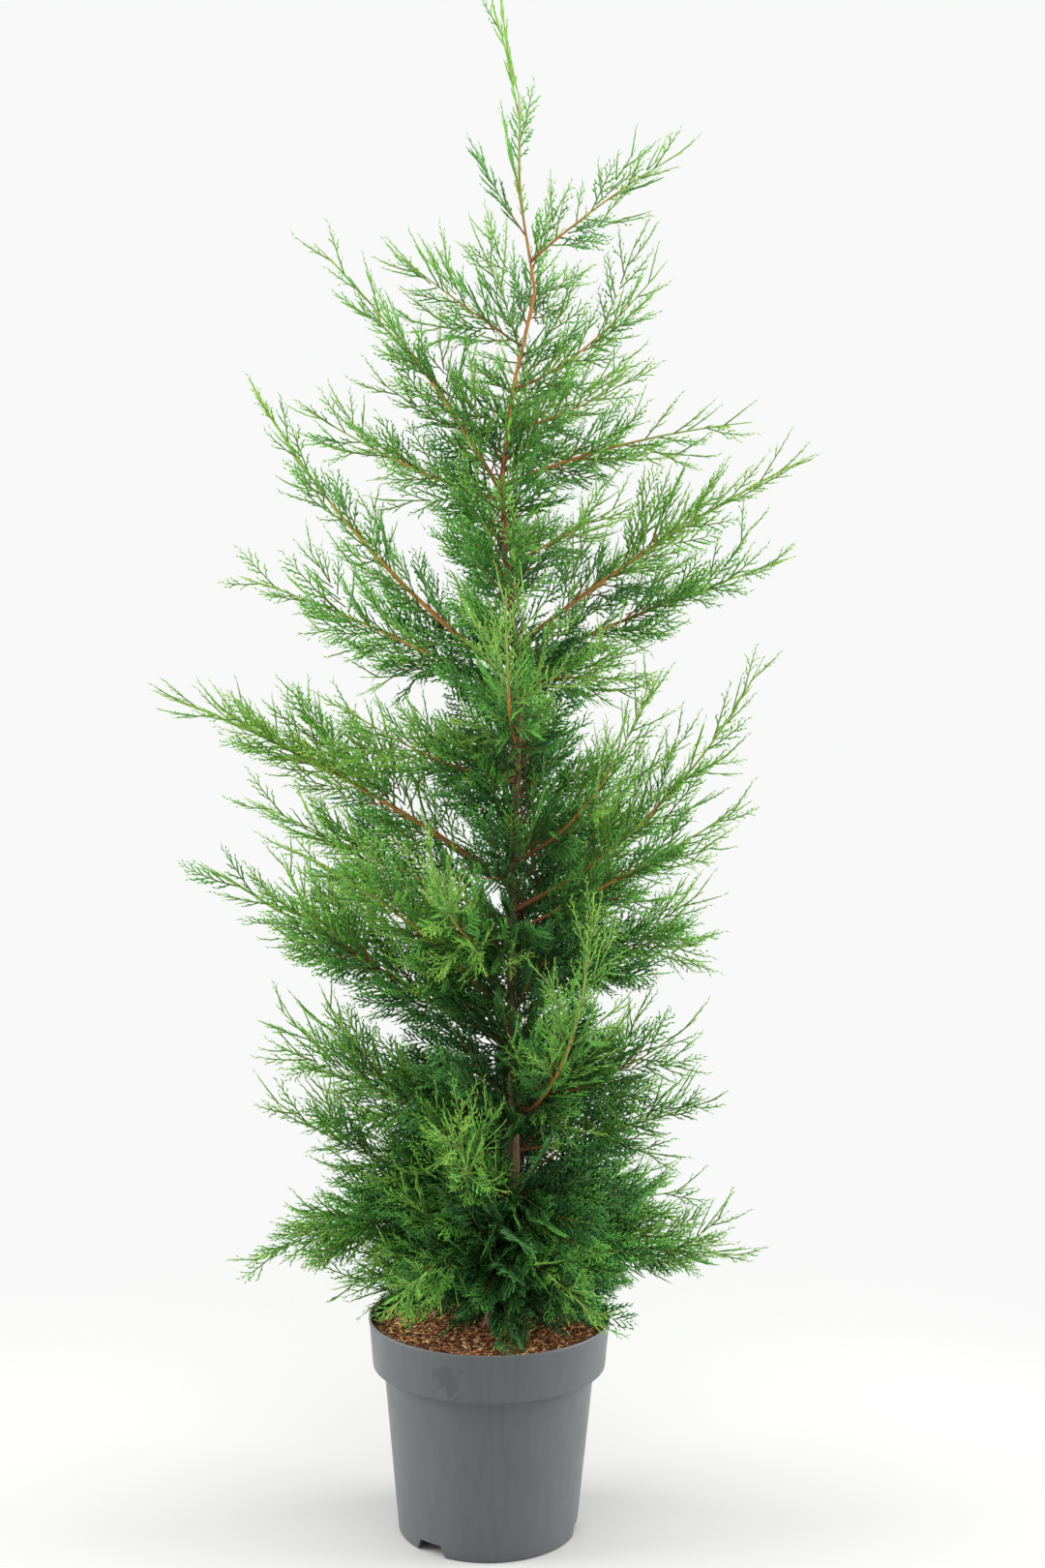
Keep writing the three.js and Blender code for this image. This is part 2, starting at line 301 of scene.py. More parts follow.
def hand_over(
    piece: bpy.types.Object, nodes: Sequence[str], materials: Sequence[bpy.types.Material]
) -> None:
    """Dresses a finished piece and ties it to the frame.

    Args:
        piece: The piece.
        nodes: The frame's nodes that it stands for.
        materials: What its faces wear.
    """
    for material in materials:
        piece.data.materials.append(material)
    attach(piece, "root")
    if nodes:
        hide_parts(*nodes)
    LOG.info("%s: %d faces, stands for %d nodes", piece.name, len(piece.data.polygons), len(nodes))


# ---------------------------------------------------------------- finishes


class Finish:
    """A finish: one shader, and the pattern's nodes that feed it."""

    name: str

    def inputs(self, add: Adder) -> dict[str, object]:
        """Adds the pattern's nodes and says what goes into the shader.

        Args:
            add: The function that adds a node.

        Returns:
            The shader's values and links, by socket.
        """
        raise NotImplementedError

    def material(self) -> bpy.types.Material:
        """The finish as a material."""
        material, add = new_material(self.name)
        shader = add("BsdfPrincipled", self.inputs(add))
        add("OutputMaterial", {"Surface": (shader, "BSDF")})
        return material


@dataclass(frozen=True)
class PlainFinish(Finish):
    """A finish of one even colour, for things too small to show a pattern."""

    name: str
    colour: str
    roughness: float
    ior: float = 1.45

    def inputs(self, add: Adder) -> dict[str, object]:
        """The shader's values."""
        return {"Base Color": srgb(self.colour), "Roughness": self.roughness, "IOR": self.ior}


# Waxy scale leaves, from the blue-green of old ones to the yellow-green of growing tips. The darker
# shades, which go to the crown's inside, its low limbs and its skirt, are partly the colour of old
# leaves and partly painted shade. Their wax is dull, so they shine less than most leaves.
LEAF_SHADES = tuple(
    PlainFinish(f"scale_leaf_{name}", colour, roughness=0.65, ior=1.33)
    for name, colour in (
        ("shaded", "325d2e"),
        ("blue_green", "3c7435"),
        ("deep", "4c8a3c"),
        ("mid", "5a9e3c"),
        ("grass", "6cab3f"),
        ("fresh", "72a637"),
        ("bright", "81ac3c"),
        ("tip", "90ac49"),
    )
)

# Young bark, from the brown of old twigs to the green of this year's.
TWIG_SHADES = (
    PlainFinish("twig_russet", "6a4026", 0.75),
    PlainFinish("twig_orange_brown", "8a5e2c", 0.7),
    PlainFinish("twig_olive", "647f36", 0.65),
    PlainFinish("twig_green", "5c903a", 0.6),
)

# Shreds of composted bark: wet and dry, outer bark and pale inner fibre.
CHIP_SHADES = (
    PlainFinish("bark_shred_dark", "4a2f1f", 0.9),
    PlainFinish("bark_shred_russet", "a05a32", 0.9),
    PlainFinish("bark_shred_brown", "b47a46", 0.9),
    PlainFinish("bark_shred_ochre", "dca25e", 0.9),
    PlainFinish("bark_fibre_straw", "eecd98", 0.85),
)


@dataclass(frozen=True)
class MouldedPolypropylene(Finish):
    """Injection-moulded grey polypropylene: an even matt face with a soft sheen at a low angle, faint
    upright flow marks, and the smudges and pale rubs of handling."""

    name: str = "moulded_polypropylene"
    base: str = "4e5154"
    light: str = "585b5d"
    dark: str = "44474a"
    damp: str = "33363a"
    ior: float = 1.49
    roughness: Pair = (0.36, 0.5)
    wear_mm: float = 41.667
    grain_mm: float = 0.8
    grain_depth_mm: float = 0.1
    flow_mm: float = 9.0
    flow_stretch: float = 0.12
    evenness: float = 0.7
    smudge_at: Triple = (-0.05, -0.143, 0.241)
    smudge_mm: float = 26.0
    smudge_strength: float = 0.45
    smudge_edge: Pair = (2.3, 2.1)
    raggedness: float = 3.0

    def inputs(self, add: Adder) -> dict[str, object]:
        """Adds the flow marks, the smudge, the rubs and the grain, and says what they feed."""
        place = add("TexCoord")
        # Flow marks run up the wall, so the pattern is stretched along Z.
        flow_place = add("Mapping", {"Vector": (place, "Object"), "Scale": (1.0, 1.0, self.flow_stretch)})
        flow = add("TexNoise", {"Vector": (flow_place, "Vector"), "Scale": per(self.flow_mm), "Detail": 4.0})
        tones = add("ValToRGB", {"Fac": (flow, "Fac")})
        set_ramp(tones, ((0.3, self.dark), (0.5, self.base), (0.75, self.light)))
        base, damp = srgb(self.base), srgb(self.damp)
        even = add("Mix", {"Factor": self.evenness, 6: (tones, "Color"), 7: base}, data_type="RGBA")
        # One damp smudge on the band, with a ragged outline.
        from_smudge = add(
            "Mapping",
            {
                "Vector": (place, "Object"),
                "Location": tuple(-c / (self.smudge_mm * MM) for c in self.smudge_at),
                "Scale": (per(self.smudge_mm),) * 3,
            },
        )
        ragged = add(
            "TexNoise", {"Vector": (from_smudge, "Vector"), "Scale": 1.9, "Detail": 6.0, "Roughness": 0.62}
        )
        spread = add("VectorMath", {0: (from_smudge, "Vector")}, operation="LENGTH")
        edge = add(
            "Math", {0: (ragged, "Fac"), 1: self.raggedness, 2: (spread, "Value")}, operation="MULTIPLY_ADD"
        )
        start, full = self.smudge_edge
        smudge = add(
            "MapRange",
            {"Value": (edge, "Value"), "From Min": start, "From Max": full, "To Max": self.smudge_strength},
        )
        colour = add("Mix", {"Factor": (smudge, "Result"), 6: (even, 2), 7: damp}, data_type="RGBA")
        wear = add("TexNoise", {"Vector": (place, "Object"), "Scale": per(self.wear_mm), "Detail": 6.0})
        low, high = self.roughness
        roughness = add(
            "MapRange",
            {"Value": (wear, "Fac"), "From Min": 0.3, "From Max": 0.7, "To Min": low, "To Max": high},
        )
        # The mould's fine matt grain, drawn a little coarse so that it shows.
        grain = add("TexNoise", {"Vector": (place, "Object"), "Scale": per(self.grain_mm), "Detail": 2.0})
        bump = add(
            "Bump", {"Height": (grain, "Fac"), "Strength": 0.12, "Distance": self.grain_depth_mm * MM}
        )
        return {
            "Base Color": (colour, 2),
            "Roughness": (roughness, "Result"),
            "Normal": (bump, "Normal"),
            "IOR": self.ior,
        }


@dataclass(frozen=True)
class CompostedBark(Finish):
    """Composted bark: a damp dark crumb between the shreds, rough and without any shine."""

    name: str = "composted_bark"
    dark: str = "24160f"
    brown: str = "5e3a24"
    russet: str = "8c5634"
    roughness: float = 0.92
    crumb_mm: float = 6.0
    crumb_depth_mm: float = 2.0

    def inputs(self, add: Adder) -> dict[str, object]:
        """Adds the crumb and says what it feeds."""
        place = add("TexCoord")
        crumb = add(
            "TexNoise",
            {"Vector": (place, "Object"), "Scale": per(self.crumb_mm), "Detail": 6.0, "Roughness": 0.7},
        )
        tones = add("ValToRGB", {"Fac": (crumb, "Fac")})
        set_ramp(tones, ((0.32, self.dark), (0.52, self.brown), (0.72, self.russet)))
        bump = add("Bump", {"Height": (crumb, "Fac"), "Strength": 0.8, "Distance": self.crumb_depth_mm * MM})
        return {"Base Color": (tones, "Color"), "Roughness": self.roughness, "Normal": (bump, "Normal")}


@dataclass(frozen=True)
class StemBark(Finish):
    """Thin young cypress bark: fine scales and short upright flakes, drying from a green rind through
    amber and orange-brown to grey-brown. The mesh carries the place of each colour as the attribute
    ripeness, 0 for the green tip and 1 for the oldest bark. On the trunk some of the darker stops are
    painted shade as well."""

    name: str
    stops: tuple[tuple[float, str], ...]
    flake_mm: float = 2.5
    flake_depth_mm: float = 0.6
    stretch: float = 0.2
    mottle: float = 0.1

    def inputs(self, add: Adder) -> dict[str, object]:
        """Adds the flakes and the mottled colour, and says what they feed."""
        ripeness = add("Attribute", attribute_name="ripeness")
        place = add("TexCoord")
        # The flakes are longer than wide, so the pattern is stretched along the stem.
        place = (add("Mapping", {"Vector": (place, "Object"), "Scale": (1.0, 1.0, self.stretch)}), "Vector")
        flakes = add(
            "TexNoise", {"Vector": place, "Scale": per(self.flake_mm), "Detail": 5.0, "Roughness": 0.65}
        )
        shift = add(
            "MapRange",
            {
                "Value": (flakes, "Fac"),
                "From Min": 0.25,
                "From Max": 0.75,
                "To Min": -self.mottle,
                "To Max": self.mottle,
            },
        )
        mixed = add("Math", {0: (ripeness, "Fac"), 1: (shift, "Result")}, operation="ADD", use_clamp=True)
        colour = add("ValToRGB", {"Fac": (mixed, "Value")})
        set_ramp(colour, self.stops)
        roughness = add("MapRange", {"Value": (flakes, "Fac"), "To Min": 0.6, "To Max": 0.9})
        bump = add(
            "Bump", {"Height": (flakes, "Fac"), "Strength": 0.7, "Distance": self.flake_depth_mm * MM}
        )
        return {
            "Base Color": (colour, "Color"),
            "Roughness": (roughness, "Result"),
            "Normal": (bump, "Normal"),
        }


# Up the trunk the ramp runs from the green tip (0) to the foot (1). The darkest stops, from 0.33 to 0.58, lie
# where the trunk runs through the middle of the crown: partly the bark's dark red-brown and partly painted
# shade.
TRUNK_BARK = StemBark(
    "trunk_bark",
    (
        (0.0, "7fa04e"),
        (0.1, "7c8c44"),
        (0.15, "7c6036"),
        (0.21, "9c6636"),
        (0.28, "c48849"),
        (0.33, "8e5430"),
        (0.4, "603622"),
        (0.58, "72523a"),
        (0.7, "7a6046"),
        (0.82, "94785a"),
        (1.0, "60503e"),
    ),
)
BOUGH_BARK = StemBark(
    "bough_bark",
    ((0.0, "86a853"), (0.32, "84963f"), (0.45, "9c8438"), (0.58, "b07c34"), (0.8, "9a6430"), (1.0, "704629")),
    stretch=0.6,
)


# ---------------------------------------------------------------- studio


@dataclass
class SoftLight:
    """One white soft box: where it stands, how large it is and how bright."""

    place: Triple
    size: float
    power: float


@dataclass
class Studio:
    """The camera, the pale floor and the soft light. Sizes in metres, angles in degrees."""

    camera_place: Triple = (0.036, -2.842, 1.246)
    pitch: float = 5.68
    roll: float = 0.53
    lens_mm: float = 52.38
    aim: Triple = (0.0, 0.0, 0.9)
    floor_radius: float = 1.5
    floor_fade: Pair = (0.45, 1.35)
    floor_colour: str = "b5b5b3"
    air_colour: str = "f9faf9"
    air_strength: float = 0.99
    lights: tuple[SoftLight, ...] = (
        SoftLight((-2.6, -0.1, 1.5), 2.0, 115.0),
        SoftLight((2.7, 0.2, 1.4), 2.0, 125.0),
        SoftLight((0.2, -1.2, 3.8), 2.4, 62.0),
    )

    def set_up(self) -> None:
        """Makes the camera, the floor and the lights."""
        self.add_camera()
        self.add_floor()
        self.add_lights()

    def add_camera(self) -> None:
        """Stands the camera level with the crown, tipped a little down."""
        data = bpy.data.cameras.new("camera")
        data.lens = self.lens_mm
        camera = new_object("camera", data)
        tip = Matrix.Rotation(math.radians(90 - self.pitch), 4, "X")
        turn = Matrix.Rotation(math.radians(self.roll), 4, "Z")
        camera.matrix_world = Matrix.Translation(self.camera_place) @ tip @ turn
        bpy.context.scene.camera = camera

    def add_floor(self) -> None:
        """Lays the plain pale floor, a round one that fades out into the air."""
        select_only()
        bpy.ops.mesh.primitive_circle_add(vertices=96, radius=self.floor_radius, fill_type="NGON")
        floor = bpy.context.object
        floor.name = "floor"
        material, add = new_material("floor_paint")
        place = add("TexCoord")
        spread = add("VectorMath", {0: (place, "Object")}, operation="LENGTH")
        start, end = self.floor_fade
        fade = add(
            "MapRange",
            {"Value": (spread, "Value"), "From Min": start, "From Max": end},
            interpolation_type="SMOOTHSTEP",
        )
        paint = add("BsdfPrincipled", {"Base Color": srgb(self.floor_colour), "Roughness": 0.8})
        clear = add("BsdfTransparent")
        mixed = add("MixShader", {"Fac": (fade, "Result"), 1: (paint, "BSDF"), 2: (clear, "BSDF")})
        add("OutputMaterial", {"Surface": (mixed, "Shader")})
        floor.data.materials.append(material)
        floor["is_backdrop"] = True

    def add_lights(self) -> None:
        """Hangs the soft boxes and fills the air with pale light."""
        for number, light in enumerate(self.lights):
            data = bpy.data.lights.new(f"soft_box_{number}", "AREA")
            data.size = light.size
            data.energy = light.power
            lamp = new_object(data.name, data)
            turn = (Vector(self.aim) - Vector(light.place)).to_track_quat("-Z", "Y")
            lamp.matrix_world = Matrix.Translation(light.place) @ turn.to_matrix().to_4x4()
        world = bpy.data.worlds.new("air")
        bpy.context.scene.world = world
        world.use_nodes = True
        background = world.node_tree.nodes["Background"]
        background.inputs["Color"].default_value = srgb(self.air_colour)
        background.inputs["Strength"].default_value = self.air_strength
        bpy.context.scene.view_settings.view_transform = "Standard"


# ---------------------------------------------------------------- pot and compost


@dataclass
class NurseryPot:
    """A round tapered pot: a flat underside with a channel round it, behind the three drainage notches
    of the foot, a thin wall, a stiffening band under the rim and a rounded lip. Sizes in metres, angles
    in degrees; the height and the rim's radius come from the frame's node."""

    wall: float = 3 * MM
    floor: float = 4 * MM
    lip: float = 3 * MM
    hub: float = 10 * MM
    band_height: float = 60 * MM
    band_foot_radius: float = 149 * MM
    band_step: float = 12 * MM
    band_corner: float = 2.5 * MM
    channel: float = 18 * MM
    channel_radius: float = 84 * MM
    channel_slope: float = 4 * MM
    body_top_radius: float = 134 * MM
    foot_radius: float = 115 * MM
    wall_shares: tuple[float, ...] = (0.06, 0.1, 0.3, 0.6, 0.96)
    notch_count: int = 3
    notch_turn: float = -38.0
    notch_width: float = 46 * MM
    notch_height: float = 16 * MM
    notch_slant: float = 7 * MM
    notch_reach: float = 12 * MM
    crease: float = 38.0
    sides: int = 128

    def build(self) -> None:
        """Models the pot and dresses it."""
        _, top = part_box("pot")
        piece = lathe("nursery_pot", self.profile(top.x, top.z), self.sides)
        for i in range(self.notch_count):
            self.cut_notch(piece, math.radians(self.notch_turn + i * 360 / self.notch_count))
        # The walls are shaded smooth, and the notches' edges stay crisp.
        select_only(piece)
        bpy.ops.object.shade_smooth_by_angle(angle=math.radians(self.crease))
        hand_over(piece, ["pot"], [MouldedPolypropylene().material()])

    def turn_in(self, inset: float, height: float) -> list[Pair]:
        """The line where the wall widens into the band, from below.

        Args:
            inset: How far the line is moved in and up: 0 for the outer face.
            height: The pot's height.

        Returns:
            The line's points, as radius and height.
        """
        low, high, corner = self.body_top_radius - inset, self.band_foot_radius - inset, self.band_corner
        foot = height - self.band_height + inset
        below = foot - self.band_step
        return [
            (low, below),
            (low + 0.4 * MM, below + 4.5 * MM),
            (low + 2.6 * MM, below + 7.5 * MM),
            (high - corner - 2 * MM, foot - corner - 0.8 * MM),
            (high - corner * 0.6, foot - corner * 0.9),
            (high - corner * 0.1, foot - corner * 0.6),
            (high, foot - corner * 0.1),
        ]

    def profile(self, rim: float, height: float) -> list[Pair]:
        """The pot's outline, from the middle of its underside over the rim to its inner floor.

        Args:
            rim: The rim's radius.
            height: The pot's height.

        Returns:
            The outline's points, as radius and height.
        """
        foot, lip, half = self.foot_radius, self.lip, self.wall / 2
        inner_foot = foot - self.wall
        outline = [
            (self.hub, 0.0),
            (self.channel_radius, 0.0),
            (self.channel_radius + self.channel_slope, self.channel),
            (inner_foot + MM, self.channel),
            (inner_foot - lip, 0.0),
            (foot - lip, 0.0),
            (foot - lip * 0.3, lip * 0.3),
            (foot, lip),
        ]
        rise = height - self.band_height - self.band_step - lip
        widening = self.body_top_radius - foot
        outline += [(foot + widening * share, lip + rise * share) for share in self.wall_shares]
        outline += self.turn_in(0.0, height)
        outline += [(rim - 1.2 * MM, height - 9 * MM), (rim - 0.6 * MM, height - 7 * MM), (rim, height - lip)]
        arc = [math.pi * i / 8 for i in range(9)]
        outline += [(rim - half + half * math.cos(a), height - half + half * math.sin(a)) for a in arc]
        outline += reversed(self.turn_in(self.wall, height))
        raised, well = self.channel + self.floor, self.channel_radius - self.floor
        outline += [(inner_foot + MM, raised), (well + self.channel_slope, raised)]
        return [*outline, (well, self.floor), (self.hub, self.floor)]

    def cut_notch(self, piece: bpy.types.Object, turn: float) -> None:
        """Cuts one drainage notch through the foot of the wall, narrower at its top.

        Args:
            piece: The pot.
            turn: The notch's bearing from the front, in radians.
        """
        select_only()
        bpy.ops.mesh.primitive_cube_add(size=1.0, location=(0.0, 0.0, 0.0))
        cutter = bpy.context.object
        reach = 3 * self.notch_reach
        for vertex in cutter.data.vertices:
            high = vertex.co.z > 0
            side = self.notch_width / 2 - (self.notch_slant if high else 0.0)
            top = self.notch_height if high else -MM
            vertex.co = (math.copysign(side, vertex.co.x), vertex.co.y * reach, top)
        outward = Vector((math.sin(turn), -math.cos(turn), 0.0))
        cutter.rotation_euler = (0.0, 0.0, turn)
        cutter.location = outward * (self.foot_radius - self.notch_reach + reach / 2)
        settle(cutter)
        select_only(piece)
        cut = piece.modifiers.new("notch", "BOOLEAN")
        cut.operation = "DIFFERENCE"
        cut.solver = "EXACT"
        cut.object = cutter
        bpy.ops.object.modifier_apply(modifier=cut.name)
        bpy.data.objects.remove(cutter)


# One flake of bark, a skew slip with a low peak on either side, and its faces.
FLAKE = np.array([(-0.5, -0.3, 0), (-0.35, 0.5, 0), (0.5, 0.25, 0), (0.3, -0.5, 0), (0, 0, 1), (0, 0, -1)])
FLAKE_FACES = np.array(
    [(3, 2, 4), (2, 1, 4), (1, 0, 4), (0, 3, 4), (2, 3, 5), (1, 2, 5), (0, 1, 5), (3, 0, 5)]
)


@dataclass
class Compost:
    """Bark compost: a lumpy bed that fills the pot to under its rim, strewn with shreds and fibres.
    Sizes in metres, angles in radians."""

    sides: int = 160
    rings: int = 44
    hub: float = 10 * MM
    eye: float = 2 * MM
    clearance: float = 0.6 * MM
    edge_drop: float = 3.5 * MM
    swell: float = 1.5 * MM
    lump: float = 3.5 * MM
    lump_size: float = 32 * MM
    crumb: float = 2.2 * MM
    crumb_size: float = 8 * MM
    fade: float = 8 * MM
    shreds: int = 4600
    shred_length: Pair = (5 * MM, 19 * MM)
    shred_width: Pair = (1.1 * MM, 3.4 * MM)
    shred_thickness: Pair = (0.35 * MM, 1.1 * MM)
    shred_lift: Pair = (-0.2 * MM, 1.2 * MM)
    shred_spread: Pair = (0.75, 1.2)
    shred_margin: float = 4 * MM
    dip: float = 0.22
    lean: float = 0.25
    dealing: tuple[float, ...] = (0.17, 0.27, 0.26, 0.18, 0.12)

    def build(self, rng: np.random.Generator) -> None:
        """Models the bed and its shreds and dresses them."""
        low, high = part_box("compost")
        places = corners(bpy.data.objects["compost"].data)
        radius = np.hypot(places[:, 0], places[:, 1])
        foot_radius = radius[places[:, 2] < low.z + MM].max()
        lifted = places[places[:, 2] > low.z + 5 * MM]
        floor_height = lifted[:, 2].min() + 0.5 * MM
        floor_radius = np.hypot(*lifted[lifted[:, 2] < floor_height][:, :2].T).max()
        waist_height = places[places[:, 2] > (low.z + high.z) / 2][:, 2].min()
        waist_radius = radius[np.abs(places[:, 2] - waist_height) < MM].max()
        edge_radius, edge_height = radius.max() - self.clearance, high.z - self.edge_drop
        outline = [
            (self.hub, low.z),
            (foot_radius - MM, low.z),
            (foot_radius + 2 * MM, floor_height),
            (floor_radius - MM, floor_height),
            (waist_radius - MM, waist_height),
            (waist_radius + MM, waist_height + 5 * MM),
            (edge_radius - 5 * MM, waist_height + 13 * MM),
            (edge_radius, edge_height - 6 * MM),
        ]
        count = self.rings
        outline += [
            (edge_radius * (1 - i / count) + self.eye * i / count, edge_height) for i in range(count + 1)
        ]
        bed = lathe("compost_bed", outline, self.sides)
        for vertex in bed.data.vertices:
            x, y, z = vertex.co
            if z > edge_height - MM:
                share = min(1.0, (edge_radius - math.hypot(x, y)) / self.fade)
                vertex.co.z = edge_height + max(0.0, share) * self.height(x, y)
        hand_over(bed, ["compost"], [CompostedBark().material()])
        self.strew(edge_radius - self.shred_margin, edge_height, rng)

    def height(self, x: float, y: float) -> float:
        """How far the bed's face stands over its edge at a place, before it fades to the wall."""
        lumps = noise.noise(Vector((x, y, 0.0)) / self.lump_size)
        crumbs = noise.noise(Vector((x, y, 5.0)) / self.crumb_size)
        return self.swell + self.lump * lumps + self.crumb * crumbs

    def strew(self, reach: float, level: float, rng: np.random.Generator) -> None:
        """Strews flat shreds over the bed: one flake, sized and turned for each.

        Args:
            reach: How far from the middle they lie.
            level: The height of the bed's edge.
            rng: The source of chance.
        """
        count = self.shreds
        distance = reach * np.sqrt(rng.random(count))
        bearing = rng.uniform(0, 2 * math.pi, count)
        x, y = distance * np.cos(bearing), distance * np.sin(bearing)
        rise = np.array([self.height(px, py) for px, py in zip(x, y)])
        thick = rng.uniform(*self.shred_thickness, count)
        centre = np.stack([x, y, level + rise + rng.uniform(*self.shred_lift, count)], axis=1)
        length = between(self.shred_length, rng.random(count) ** 1.8)
        width = between(self.shred_width, rng.random(count) ** 1.5)
        heading = rng.uniform(0, 2 * math.pi, count)
        dip = rng.normal(0, self.dip, count)
        along = np.stack([np.cos(heading) * np.cos(dip), np.sin(heading) * np.cos(dip), np.sin(dip)], axis=1)
        across = unit(np.cross(UP + rng.normal(0, self.lean, (count, 3)), along))
        size = np.stack([length, width, thick], axis=1)[:, None] * FLAKE
        size *= rng.uniform(*self.shred_spread, (count, len(FLAKE), 1))
        axes = (along, across, np.cross(along, across))
        places = centre[:, None] + sum(size[..., i : i + 1] * axes[i][:, None] for i in range(3))
        shade = rng.choice(len(CHIP_SHADES), count, p=self.dealing)
        piece = build_mesh("bark_shreds", [(places, FLAKE_FACES, shade)])
        hand_over(piece, [], [finish.material() for finish in CHIP_SHADES])


# ---------------------------------------------------------------- reading the wood's lines


@dataclass
class StemLine:
    """A line along a stem, with the stem's radius at each point."""

    points: np.ndarray
    radii: np.ndarray

    def at_height(self, heights: np.ndarray) -> np.ndarray:
        """The line's points at the heights."""
        return np.stack([np.interp(heights, self.points[:, 2], self.points[:, i]) for i in range(3)], axis=-1)

    def length(self) -> float:
        """The line's length."""
        return float(run_along(self.points)[-1])

    def spaced(self, spacing: float) -> "StemLine":
        """The same line with its points at an even spacing."""
        run = run_along(self.points)
        marks = np.linspace(0.0, run[-1], max(4, round(run[-1] / spacing) + 1))
        points = np.stack([np.interp(marks, run, self.points[:, i]) for i in range(3)], axis=1)
        return StemLine(points, np.interp(marks, run, self.radii))

    def tangents(self) -> np.ndarray:
        """The line's direction at each point."""
        return unit(np.gradient(self.points, axis=0))


def curve(start: np.ndarray, middle: np.ndarray, end: np.ndarray, count: int = 24) -> np.ndarray:
    """Points on the arc from start to end that heads for the middle at both ends."""
    t = np.linspace(0.0, 1.0, count)[:, None]
    return (1 - t) ** 2 * start + 2 * t * (1 - t) * middle + t**2 * end


def ring_centre(ring: np.ndarray) -> np.ndarray:
    """The middle of a ring of corners, each place counted once."""
    return np.unique(ring.round(6), axis=0).mean(axis=0)


def read_trunk(node: bpy.types.Object) -> StemLine:
    """The trunk's line, from the level rings of its CAD node."""
    places = corners(node.data)
    levels = np.unique(places[:, 2].round(4))
    rings = [places[np.abs(places[:, 2] - level) < 0.1 * MM] for level in levels]
    points = np.array([ring_centre(ring) for ring in rings])
    radii = np.array([np.median(np.linalg.norm(ring - point, axis=1)) for ring, point in zip(rings, points)])
    return StemLine(points, radii)


class Slot(Enum):
    """The record's foliage slots. Each has its name there, the places of its shades in LEAF_SHADES, what
    it adds to the youth of its limbs, and how wide they spread their sprays beside the plain rule. The
    record deals the fresh slot mostly to limbs that face the front and the deep one to limbs at the back,
    so what a slot adds to youth is partly their age, and partly painted light on the front limbs' leaves
    and painted shade on the back ones'."""

    # The fresh slot's brighter shades are partly painted light on the front limbs, and the deep slot's darker
    # ones partly painted shade on the back limbs.
    DEEP = ("foliage_deep", (0, 1, 2), -0.05, 1.0)
    MID = ("foliage_mid", (3, 4), 0.0, 1.0)
    FRESH = ("foliage_fresh", (5, 6, 7), 0.12, 1.06)

    def __init__(self, slot: str, shades: tuple[int, ...], vigour: float, breadth: float) -> None:
        """Gives the slot's values their names."""
        self.slot, self.shades, self.vigour, self.breadth = slot, shades, vigour, breadth

    @classmethod
    def named(cls, name: str) -> "Slot":
        """The slot of this name."""
        return next(slot for slot in cls if slot.slot == name)


@dataclass
class Limb:
    """One limb: its line from inside the trunk to its tip, its foliage's outline, where along it the
    foliage starts, as a share of its length, the youth of what it bears at its foot and tip, and how
    wide it spreads, 1 for the plain rule."""

    name: str
    line: StemLine
    outline: BVHTree
    bare: float
    slot: Slot
    youth: Pair
    breadth: float = 1.0


# Limbs, by number from the pot up, whose sprays are broader and thicker than the rule gives, or less.
FULLNESS = {
    **dict.fromkeys((17, 37), 1.2),
    **dict.fromkeys((6, 12, 15, 20, 24, 28, 42), 1.08),
    **dict.fromkeys((16, 36), 0.95),
    **dict.fromkeys((1, 10, 34, 39, 44), 0.88),
}


